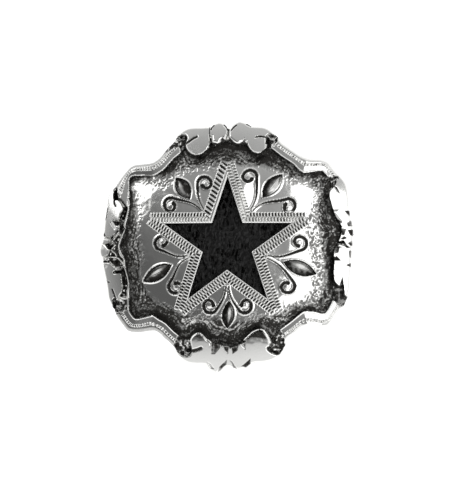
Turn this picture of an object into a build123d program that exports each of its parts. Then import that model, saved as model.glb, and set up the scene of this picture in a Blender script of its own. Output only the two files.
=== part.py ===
"""Concho scarf slide, in millimetres.

A cast, domed concho with a star cut through it lies face up on the flat underside of its scarf loop.
+Z points out of the face, +Y to the star's upper tip, and the origin is on the floor under the middle.
"""
from build123d import *
import math
import os

# The casting's outline
width = 44.6                # across the two side waists
height = 44.1               # between the crests at the top and the bottom
dome_radius = 62.0          # curve of the polished field in the middle
plate_wall = 1.25           # metal under the trough

# Heights of the relief over the trough
field_rise = 0.6
border_rise = 0.95
scroll_rise = 1.45
carving_depth = 0.3         # of the leaves' pockets and the curls' grooves, under the field
ridge_rise = 0.08           # of the ridge in each leaf, over the field
field_slope = 38.0          # degrees, lean of the field's sloping edge from upright

# The middle field and the star
inner_up = 0.45             # how far the trough and the field lie over the casting's middle
star_radius = 11.55         # centre to tip
star_up = 0.3               # how far the star's middle lies over the casting's
star_border = 3.0           # engraved band between the star's notch and the curls' stems

# The carved leaves and curls
ridge_share = 0.42          # breadth and length that a leaf's ridge takes of its pocket
stem_gap = 0.3              # half the distance between two stems where they meet
stem_reach = 1.7            # length of the stem's two handles
curl_radius = 1.35
curl_tightening = 0.85      # each quarter turn's radius over the last one's
curl_quarters = 4
curl_width = 0.42

# Leather, posts and loop
piece_gap = 0.06            # room left between pieces that lie on each other
leather_thickness = 1.6
leather_inset = 1.7         # from the outline's nearest place to the leather's edge
post_radius = 1.25
post_hole_gap = 0.12
post_head_radius = 2.2
post_head_height = 0.9
post_head_gap = 0.4         # from the head to the loop's wall
strap_thickness = 1.2
strap_width = 14.0
loop_half_width = 9.6       # inside
loop_clear_height = 10.2    # from the loop's floor to the leather, in the middle
loop_bend = 1.5             # inside radius of the strap's bends
foot_reach = 3.3            # of each foot beyond its post
foot_corner = 2.0

# Radii of the concentric balls that every height is measured to
field_ball = dome_radius
trough_ball = field_ball - field_rise
hollow_ball = trough_ball - plate_wall
leather_front_ball = hollow_ball - piece_gap
leather_back_ball = leather_front_ball - leather_thickness
foot_front_ball = leather_back_ball - piece_gap
foot_back_ball = foot_front_ball - strap_thickness
middle_of_wall = (trough_ball + hollow_ball) / 2
ball_centre = strap_thickness + loop_clear_height - leather_back_ball
prism_height = strap_thickness + loop_clear_height + dome_radius / 2

half_width = width / 2
half_height = height / 2
field_foot = math.sqrt(middle_of_wall ** 2 - half_width ** 2)
notch_radius = star_radius * math.sin(math.radians(18)) / math.sin(math.radians(54))
stem_start = notch_radius + star_border
post_spread = loop_half_width + strap_thickness + post_head_gap + post_head_radius

# One quarter of the casting's outline, from the notch at the top to the waist at the right.
# Columns: x as a share of the half width, y as a share of the half height,
# and the bow of the stretch that follows as a share of its length, positive outwards
outline_quarter = [
    (0.000, 0.920, 0.00),
    (0.040, 0.975, 0.10),
    (0.085, 1.000, 0.12),
    (0.140, 0.968, 0.00),
    (0.155, 0.948, 0.04),
    (0.350, 0.920, 0.12),
    (0.425, 0.845, 0.00),
    (0.588, 0.686, -0.06),
    (0.776, 0.662, 0.05),
    (0.924, 0.465, 0.03),
    (0.952, 0.350, 0.03),
    (0.972, 0.130, 0.00),
    (1.000, 0.050, 0.10),
    (0.985, 0.000, 0.00),
]

# One quarter of the border's inner edge, above the trough, with the same columns
inner_quarter = [
    (0.000, 0.815, 0.03),
    (0.130, 0.790, -0.05),
    (0.352, 0.739, 0.00),
    (0.572, 0.551, 0.00),
    (0.758, 0.560, 0.10),
    (0.796, 0.490, 0.00),
    (0.780, 0.400, 0.04),
    (0.850, 0.200, 0.00),
    (0.875, 0.070, 0.10),
    (0.875, 0.000, 0.00),
]

# One quarter of the polished field's foot, with the same columns
field_quarter = [
    (0.000, 0.690, 0.045),
    (0.580, 0.590, 0.04),
    (0.715, 0.540, 0.14),
    (0.785, 0.435, 0.01),
    (0.800, 0.000, 0.00),
]

# Ovals that make the scrolls' fat lobes. Columns: x of the middle and y of the middle, half length
# and half breadth, in shares of the half width, and the degrees that the length is turned from +X
top_lobes = [
    (0.245, 0.805, 0.095, 0.088, 90.0),
    (0.262, 0.890, 0.128, 0.050, -8.0),
    (0.068, 0.925, 0.066, 0.052, 60.0),
]
bottom_lobes = [
    (0.233, 0.765, 0.112, 0.090, 90.0),
    (0.265, 0.880, 0.132, 0.054, -8.0),
    (0.068, 0.920, 0.070, 0.055, 60.0),
]
side_lobes = [
    (0.893, 0.280, 0.150, 0.066, 96.0),
    (0.935, 0.060, 0.080, 0.044, 70.0),
]

# The five leaves, each with its pair of curls. Columns: degrees from +X, then in shares of the star's
# radius the leaf's near and far end and its breadth, then each spiral's distance out along the leaf
# and to its side, the anticlockwise one first
motifs = [
    (54.0, 0.890, 1.370, 0.185, 1.010, 0.340, 1.000, 0.420),
    (126.0, 0.900, 1.300, 0.185, 0.985, 0.360, 0.940, 0.270),
    (198.0, 0.840, 1.380, 0.205, 0.940, 0.380, 0.935, 0.340),
    (270.0, 0.845, 1.270, 0.200, 0.930, 0.275, 0.930, 0.275),
    (342.0, 0.890, 1.390, 0.205, 1.030, 0.360, 1.055, 0.340),
]


def ball(radius):
    """Ball about the common centre, turned so that its poles and seam are away from the face."""
    return Pos(0, 0, ball_centre) * Rotation(0, 90, 0) * Sphere(radius)


def between_balls(face, low_radius, high_radius):
    """The part of the upright prism on a face that lies between two of the concentric balls."""
    prism = extrude(face, prism_height, dir=(0, 0, 1))
    return (prism & ball(high_radius)) - ball(low_radius)


def bowed_line(start, end, bow):
    """Straight line, or an arc whose height is bow times its length, bulging to the right of the way."""
    if bow == 0:
        return Line(start, end)
    length = math.dist(start, end)
    return SagittaArc(start, end, -bow * length)


def mirrored_outline(rows):
    """Closed face from one quarter's rows, mirrored left to right and then top to bottom.

    The edges are laid anticlockwise, from each row back to the one before it, so that the face looks up.
    """
    points = [(x * half_width, y * half_height) for x, y, bow in rows]
    quarter = Curve()
    for row in range(len(rows) - 1, 0, -1):
        quarter += bowed_line(points[row], points[row - 1], rows[row - 1][2])
    half = quarter + mirror(quarter, about=Plane.YZ)
    return make_face(half + mirror(half, about=Plane.XZ))


def leather_radius():
    """Radius of the leather disc, which stays inside the outline's nearest corner."""
    nearest = min(math.hypot(x * half_width, y * half_height) for x, y, bow in outline_quarter)
    return nearest - leather_inset


def lobe(row, side, up):
    """One oval lobe of a scroll, on the side and end of the casting that the signs name."""
    x, y, half_length, half_breadth, turn = row
    oval = Ellipse(half_length * half_width, half_breadth * half_width, rotation=side * up * turn)
    return Pos(side * x * half_width, up * y * half_height) * oval


def scroll_groups():
    """The four groups of fat lobes that stand over the border, as one set of faces."""
    groups = Sketch()
    for side in (1, -1):
        for row in top_lobes:
            groups += lobe(row, side, 1)
        for row in bottom_lobes:
            groups += lobe(row, side, -1)
        for row in side_lobes:
            groups += lobe(row, side, 1) + lobe(row, side, -1)
    return groups


def sloping_field():
    """The field's block, whose walls lean inwards from its foot."""
    tall = field_ball - field_foot + field_rise
    shrink = 1 - tall * math.tan(math.radians(field_slope)) / half_height
    foot = Pos(0, inner_up, ball_centre + field_foot) * mirrored_outline(field_quarter)
    top = Pos(0, inner_up, ball_centre + field_foot + tall) * scale(mirrored_outline(field_quarter), shrink)
    return loft([foot.face(), top.face()], ruled=True)


def star_face():
    """A regular five-pointed star with one tip up."""
    points = []
    for corner in range(10):
        reach = notch_radius if corner % 2 else star_radius
        angle = math.radians(90 + 36 * corner)
        points.append((reach * math.cos(angle), reach * math.sin(angle)))
    return Pos(0, star_up) * make_face(Polyline(*points, close=True))


def leaf_face(near, far, breadth):
    """A pointed oval along +X, made of two arcs that meet at its tips."""
    middle = (near + far) / 2
    edges = Curve() + ThreePointArc((near, 0), (middle, breadth / 2), (far, 0))
    edges += ThreePointArc((far, 0), (middle, -breadth / 2), (near, 0))
    return make_face(edges)


def curl_face(along, aside):
    """A stem that leaves +X sideways, bends over and winds into a spiral on its far side."""
    start = Vector(stem_start, stem_gap)
    turn_in = Vector(along, aside - curl_radius)
    handle = Vector(stem_reach, 0)
    line = Curve() + Bezier(start, start + handle, turn_in - handle, turn_in)
    place, heading, radius = turn_in, Vector(1, 0), curl_radius
    for quarter in range(curl_quarters):
        arc = JernArc(place, heading, radius, 90)
        line += arc
        place, heading = arc @ 1, arc % 1
        radius *= curl_tightening
    return trace(line, curl_width)


def carved_field(casting):
    """The casting with its leaves and curls sunk in the field, and a ridge standing in each leaf."""
    carving = Sketch()
    ridges = Sketch()
    for degrees, *shares in motifs:
        near, far, breadth, *spirals = [share * star_radius for share in shares]
        place = Pos(0, star_up) * Rotation(0, 0, degrees)
        carving += place * leaf_face(near, far, breadth)
        carving += place * curl_face(*spirals[:2])
        carving += place * mirror(curl_face(*spirals[2:]), about=Plane.XZ)
        margin = (1 - ridge_share) * (far - near) / 4
        ridges += place * leaf_face(near + margin, far - margin, ridge_share * breadth)
    casting -= between_balls(carving, field_ball - carving_depth, field_ball + scroll_rise)
    return casting + between_balls(ridges, middle_of_wall, field_ball + ridge_rise)


def post(side):
    """Cast post on the hollow back, with a peened head that follows the loop's foot."""
    x = side * post_spread
    head_ball = foot_back_ball - piece_gap
    shank = between_balls(Pos(x, 0) * Circle(post_radius), head_ball - post_head_height, middle_of_wall)
    head = between_balls(Pos(x, 0) * Circle(post_head_radius), head_ball - post_head_height, head_ball)
    return shank + head


def make_concho():
    """The casting, built up in heights over its trough, then opened by the star."""
    outline = mirrored_outline(outline_quarter)
    border = outline - Pos(0, inner_up) * mirrored_outline(inner_quarter)
    casting = between_balls(outline, hollow_ball, trough_ball)
    casting += between_balls(border, middle_of_wall, trough_ball + border_rise)
    casting += between_balls(outline & scroll_groups(), middle_of_wall, trough_ball + scroll_rise)
    casting += (sloping_field() & ball(field_ball)) - ball(middle_of_wall)
    casting = carved_field(casting) - extrude(star_face(), prism_height)
    return casting + post(1) + post(-1)


def post_holes():
    """Two upright holes for the posts."""
    holes = Part()
    for side in (1, -1):
        hole = Pos(side * post_spread, 0) * Circle(post_radius + post_hole_gap)
        holes += extrude(hole, prism_height)
    return holes


def make_leather():
    """The leather disc, pressed to the casting's hollow back."""
    return between_balls(Circle(leather_radius()), leather_back_ball, leather_front_ball) - post_holes()


def make_loop():
    """The strap: a flat floor, two upright walls and two feet that follow the leather's back."""
    outside = loop_half_width + strap_thickness
    tall = ball_centre + foot_front_ball
    shell = Pos(0, 0, tall / 2) * Box(2 * outside, strap_width, tall)
    bottom_edges = shell.edges().filter_by(Axis.Y).group_by(Axis.Z)[0]
    shell = fillet(bottom_edges, loop_bend + strap_thickness)
    inside = Pos(0, 0, strap_thickness + tall / 2) * Box(2 * loop_half_width, 2 * strap_width, tall)
    inside_edges = inside.edges().filter_by(Axis.Y).group_by(Axis.Z)[0]
    shell -= fillet(inside_edges, loop_bend)
    foot_end = post_spread + foot_reach
    sole = Rectangle(2 * foot_end, strap_width)
    sole = fillet(sole.vertices(), foot_corner) - Rectangle(2 * loop_half_width, 2 * strap_width)
    feet = between_balls(sole, foot_back_ball, foot_front_ball)
    return (shell & ball(foot_front_ball)) + feet - post_holes()


os.makedirs("parts", exist_ok=True)
export_step(make_concho(), "parts/concho.step")
export_step(make_leather(), "parts/leather_backing.step")
export_step(make_loop(), "parts/scarf_loop.step")
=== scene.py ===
"""Looks of the concho scarf slide: an antiqued casting over black leather, and its strap loop.

Lengths below are in millimetres until put() writes them to a mesh in metres. +Z points out of the face
and +Y to the star's upper tip. A relief is a height over the trough's ball, and an amount of oxide runs
from 0, bare polished plate, to 1, black. In places that amount also carries painted shade and painted
highlights: on the leaves, the bulbs, the straps' bevels and flats, and patches of the trough.
"""
import math
import bpy
import numpy as np
from mathutils import Matrix, Vector
from mathutils.geometry import delaunay_2d_cdt


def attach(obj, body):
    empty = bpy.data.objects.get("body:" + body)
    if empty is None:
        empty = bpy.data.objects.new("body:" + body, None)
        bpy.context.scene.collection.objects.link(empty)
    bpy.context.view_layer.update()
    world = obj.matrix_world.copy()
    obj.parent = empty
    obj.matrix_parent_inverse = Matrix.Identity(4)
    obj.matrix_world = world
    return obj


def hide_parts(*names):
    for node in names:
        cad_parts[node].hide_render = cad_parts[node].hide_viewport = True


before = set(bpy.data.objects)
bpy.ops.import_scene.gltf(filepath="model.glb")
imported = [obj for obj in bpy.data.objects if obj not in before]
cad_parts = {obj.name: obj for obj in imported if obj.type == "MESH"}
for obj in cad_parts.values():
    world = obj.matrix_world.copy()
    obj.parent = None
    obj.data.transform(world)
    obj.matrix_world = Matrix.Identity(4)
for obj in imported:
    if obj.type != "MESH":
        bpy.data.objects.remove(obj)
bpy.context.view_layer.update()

MM = 0.001

# Balls about one common centre, as in the part's source
BALL_CENTRE = -47.09
TROUGH_BALL = 61.4
HOLLOW_BALL = 60.15
LEATHER_FRONT_BALL = 60.09
LEATHER_BACK_BALL = 58.49
FOOT_FRONT_BALL = 58.43
FOOT_BACK_BALL = 57.23

# Heights over the trough
FIELD_RISE = 0.6
GROUND_RISE = 0.36         # of the dark ground between the straps and scrolls
LOBE_FOOT = 0.35
SCROLL_RISE = 1.45
RIDGE_RISE = 0.6           # of a thin bright ridge, over its own foot
STRAP_FOOT = 0.5           # of a strap at the outline
BEVEL_RISE = 0.3
BEAD_RISE = 0.09           # of the strap's beads
STRAP_LIP = 0.12

# The star
STAR_RADIUS = 11.9
STAR_UP = 0.4
NOTCH_RADIUS = STAR_RADIUS * math.sin(math.radians(18)) / math.sin(math.radians(54))
TENTH = math.pi / 5        # the angle between a tip and the next notch
EDGE_LENGTH = math.hypot(STAR_RADIUS - NOTCH_RADIUS * math.cos(TENTH), NOTCH_RADIUS * math.sin(TENTH))

# The engraved band round the star
BAND = 2.05                # how far out from the star's edges it ends
TIP_BAND = 2.75            # how far past the star's tips it ends
BEVEL_WIDTH = 0.22
BEVEL_DEPTH = 0.18
CUT_DEPTH = 0.26
CUT_PITCH = 0.54
CUT_LEAN = 0.12            # how far along a cut leans for each millimetre out
LONG_CUT_PITCH = 0.745     # of the longer cuts on the left edge of the upper arm
LONG_CUT_LEAN = -0.36

# The carving on the field
LEAF_DEPTH = 0.4
LEAF_RIDGE = 0.6
LEAF_LIP = 0.1
WIDE_PAINTED_HIGHLIGHT = 0.4          # share of the half breadth past which a leaf's painted highlight streak is a wide one
CURL_START = (7.4, 0.25)   # how far out and how far aside a stem starts
CURL_LEAN = 36.0           # degrees from its leaf's line at which a stem enters its spiral
CURL_TURN = 325.0          # degrees that a spiral goes round
CURL_RADIUS = 1.4
CURL_DEPTH = 0.3
CURL_LIP = 0.06
STEM_HALF_WIDTH = 0.07
CURL_SWELL = 0.16          # how much a curl's half width grows from its stem to its end
CURL_BEAD = 0.14
CURL_BEAD_RADIUS = 0.55

# Bead pitch and grain sizes
STRAP_BEAD = 0.42
GRAIN = 0.42
FINE_GRAIN = 0.22
PATCH = 2.2

# The casting's edge and back
SEAM = 0.4                 # how far inside the border's inner edge two of its pieces meet
OUTLINE_ROUNDING = 0.25
OUTLINE_DROP = 0.3
BACK_SPACING = 1.1

# Leather, posts and loop
LEATHER_RADIUS = 18.32
LEATHER_SPACING = 0.9
WRINKLE_DEPTH = 0.24
POST_SPREAD = 13.4
POST_HOLE = 1.37
POST_SIDES = 48
PEENED_BALL = 56.9         # the posts' heads are peened below it
STRAP_WIDTH = 14.0
STRAP_THICKNESS = 1.2
STRAP_ROUNDING = 0.3       # of the strap's long edges
LOOP_HALF_WIDTH = 9.6
LOOP_BEND = 1.5
LOOP_SHOULDER = 1.0
FOOT_END = 16.7
FOOT_CORNER = 2.0

# The view
VIEW_RIGHT = 5.0           # degrees that the camera stands off to the right
VIEW_UP = -2.5             # and up
VIEW_AIM = (-0.00073, 0.00072, 0.0105)    # in metres
VIEW_DISTANCE = 1.0        # in metres
PHOTO_WIDTH = 450          # in pixels
PIXEL = 0.1753             # what one pixel shows at the aim

# Each random pattern's own seed
SEEDS = {
    "grain": 11, "fine grain": 21, "flecks": 23, "cut sway": 31, "cut wear": 33, "leaf oxide": 37,
    "beads": 41, "patches": 51, "bulb edge": 61, "back grain": 61, "leather sway": 71, "folds": 72,
    "small folds": 73, "peening": 81, "streaks": 91, "waves": 93, "ripples": 95,
}

# The casting's outline, clockwise from the notch at the top. Columns: x, y
outline = [
    (-0.12, 20.74), (0.32, 20.83), (0.81, 21.43), (1.46, 21.85), (1.96, 22.03), (2.63, 21.87),
    (3.37, 21.54), (3.90, 21.15), (4.70, 21.08), (6.09, 21.00), (7.05, 20.62), (7.94, 19.91),
    (8.69, 19.11), (9.44, 18.25), (10.47, 17.49), (11.55, 16.75), (12.79, 15.92), (14.37, 15.40),
    (16.27, 15.32), (17.49, 14.90), (18.31, 13.79), (19.33, 12.61), (20.14, 11.71), (20.71, 10.60),
    (20.97, 8.77), (21.10, 6.53), (21.25, 5.20), (21.64, 3.79), (21.78, 2.55), (21.70, 0.78),
    (21.48, -0.64), (21.40, -2.81), (21.33, -4.35), (21.24, -6.46), (21.13, -7.52), (20.81, -8.58),
    (20.34, -9.64), (19.81, -10.88), (18.84, -12.20), (18.13, -13.44), (17.34, -14.13), (16.30, -14.29),
    (14.74, -14.09), (13.18, -14.20), (11.94, -15.21), (10.52, -16.17), (9.92, -17.16), (9.61, -17.88),
    (9.15, -18.87), (8.26, -19.63), (7.23, -20.07), (5.91, -20.29), (4.60, -20.34), (3.86, -20.66),
    (3.11, -21.09), (1.93, -21.47), (1.27, -21.38), (0.62, -21.17), (-0.11, -20.98), (-0.85, -21.24),
    (-1.45, -21.53), (-2.21, -22.13), (-2.79, -21.89), (-3.37, -21.52), (-3.80, -21.09), (-4.08, -20.63),
    (-5.56, -20.58), (-6.74, -20.47), (-7.77, -20.06), (-8.64, -19.34), (-9.21, -18.46), (-9.49, -17.62),
    (-10.50, -16.55), (-11.38, -15.80), (-11.82, -15.29), (-12.95, -14.62), (-14.30, -14.67),
    (-15.55, -14.84), (-16.91, -14.82), (-17.84, -14.59), (-18.66, -13.61), (-19.68, -12.19),
    (-20.28, -10.81), (-20.73, -10.06), (-21.20, -8.94), (-21.39, -7.53), (-21.59, -6.11),
    (-21.89, -4.69), (-22.14, -3.37), (-22.30, -2.22), (-22.65, -1.28), (-22.74, -0.53), (-22.51, 0.42),
    (-22.13, 1.59), (-21.97, 3.22), (-21.81, 4.84), (-21.53, 6.47), (-21.42, 7.90), (-21.25, 9.22),
    (-20.69, 10.09), (-20.07, 10.63), (-19.41, 11.55), (-18.44, 12.92), (-17.41, 14.02), (-16.38, 14.46),
    (-14.51, 14.60), (-13.26, 14.83), (-12.10, 15.60), (-11.20, 16.80), (-10.50, 17.61), (-9.77, 18.34),
    (-9.48, 18.79), (-9.20, 19.28), (-8.62, 19.90), (-7.90, 20.49), (-7.02, 20.88), (-5.98, 21.00),
    (-4.80, 20.99), (-3.47, 21.05), (-3.14, 20.99), (-2.59, 21.51), (-1.72, 21.82), (-0.98, 21.67),
    (-0.37, 21.16),
]

# The border's inner edge, where it drops to the trough, clockwise from the top. Columns: x, y
inner_edge = [
    (-0.40, 18.36), (0.49, 18.07), (1.52, 17.81), (2.33, 17.84), (2.92, 17.47),
    (3.52, 17.03), (4.27, 16.39), (5.08, 16.07), (5.80, 16.30), (6.51, 16.97),
    (6.95, 17.04), (7.60, 17.05), (9.30, 15.72), (11.43, 14.30), (12.11, 13.49),
    (13.12, 12.78), (14.71, 12.94), (16.10, 13.16), (16.60, 12.96), (17.62, 11.81),
    (17.83, 10.79), (17.66, 9.05), (17.93, 7.83), (18.28, 6.61), (18.79, 5.19),
    (19.79, 3.37), (19.60, 1.54), (18.71, -0.10), (18.45, -1.93), (18.44, -3.95),
    (18.35, -5.78), (18.21, -7.60), (18.20, -8.81), (17.94, -9.92), (16.82, -11.64),
    (15.24, -11.36), (13.25, -11.28), (12.13, -12.10), (10.91, -13.11), (8.89, -14.59),
    (7.70, -15.91), (7.39, -15.62), (6.71, -14.65), (5.70, -14.29), (4.68, -14.44),
    (3.64, -15.20), (2.66, -16.29), (1.84, -16.77), (0.95, -17.20), (0.21, -17.35),
    (-0.66, -17.20), (-1.24, -16.82), (-2.56, -16.47), (-3.59, -16.10), (-4.45, -15.17),
    (-5.19, -14.87), (-6.08, -15.12), (-6.61, -15.69), (-7.73, -15.98), (-9.49, -14.73),
    (-10.91, -13.31), (-12.14, -12.60), (-13.17, -11.88), (-14.63, -12.17), (-16.30, -12.45),
    (-17.10, -11.60), (-17.44, -10.82), (-17.38, -9.42), (-17.30, -7.66), (-17.41, -5.90),
    (-17.85, -4.14), (-17.99, -2.72), (-18.35, -1.48), (-18.90, -0.42), (-18.99, 0.47),
    (-18.53, 1.52), (-18.10, 2.76), (-17.91, 3.82), (-17.64, 5.06), (-17.38, 6.30),
    (-17.27, 7.54), (-17.32, 8.96), (-17.34, 10.39), (-17.33, 12.01), (-16.51, 12.41),
    (-14.21, 12.32), (-12.97, 12.37), (-11.74, 13.08), (-10.92, 13.79), (-9.51, 15.38),
    (-8.19, 16.46), (-7.59, 17.34), (-7.27, 16.65), (-6.55, 16.05), (-5.65, 15.78),
    (-4.77, 16.01), (-3.90, 16.63), (-3.10, 17.40), (-2.44, 17.47), (-1.86, 17.81),
    (-0.99, 18.21),
]

# The polished field's edge, clockwise from the top. Columns: x, y
field_edge = [
    (-0.14, 14.99), (3.53, 14.53), (6.26, 14.45), (9.29, 13.48), (12.62, 12.13), (15.50, 10.90),
    (16.20, 9.50), (16.30, 5.90), (16.60, 1.30), (16.90, -3.20), (16.90, -6.30), (16.20, -8.80),
    (13.85, -10.25), (9.63, -11.80), (5.68, -12.87), (2.33, -13.49), (-1.33, -13.40), (-5.61, -12.87),
    (-8.99, -11.80), (-11.80, -10.40), (-13.90, -9.00), (-15.30, -6.80), (-15.80, -4.10), (-15.90, 1.00),
    (-16.10, 5.30), (-16.85, 8.95), (-16.60, 11.09), (-13.96, 12.14), (-11.17, 12.42), (-9.02, 13.42),
    (-5.64, 14.32), (-2.89, 14.84),
]

# Areas of the four straps, a little larger than what shows of them. Columns: painted shade on the bevel, how
# much of the beads' oxide shows, painted shade on the flat, outline
straps = [
    (0.12, 0.75, 0.0, [
        (7.00, 16.55), (7.67, 17.80), (9.04, 19.07), (10.81, 18.00), (12.93, 16.77), (17.81, 15.93),
        (20.64, 12.22), (18.06, 12.18), (16.85, 12.17), (12.69, 11.76), (9.69, 13.88),
    ]),
    (0.0, 0.12, 0.0, [
        (18.26, -9.31), (18.95, -9.61), (19.73, -10.24), (20.90, -10.79), (18.86, -14.64),
        (17.45, -15.46), (13.88, -15.10), (10.81, -17.93), (9.08, -15.14), (10.12, -13.12),
        (12.16, -11.09), (14.97, -10.26), (16.75, -10.64), (17.86, -9.42),
    ]),
    (0.5, 0.8, 0.45, [
        (-18.03, -10.83), (-19.41, -11.81), (-20.66, -10.99), (-18.88, -16.24), (-14.49, -15.89),
        (-10.19, -17.94), (-8.91, -16.34), (-8.88, -15.14), (-10.88, -12.11), (-12.94, -11.09),
        (-16.27, -11.65),
    ]),
    (0.45, 0.75, 0.0, [
        (-17.30, 10.47), (-17.60, 6.90), (-19.60, 8.60), (-19.70, 11.33), (-18.62, 14.17),
        (-16.35, 15.38), (-12.61, 15.75), (-8.94, 17.77), (-8.09, 16.53), (-9.89, 14.08),
        (-11.71, 12.25), (-14.20, 11.87), (-16.70, 12.00),
    ]),
]

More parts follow.
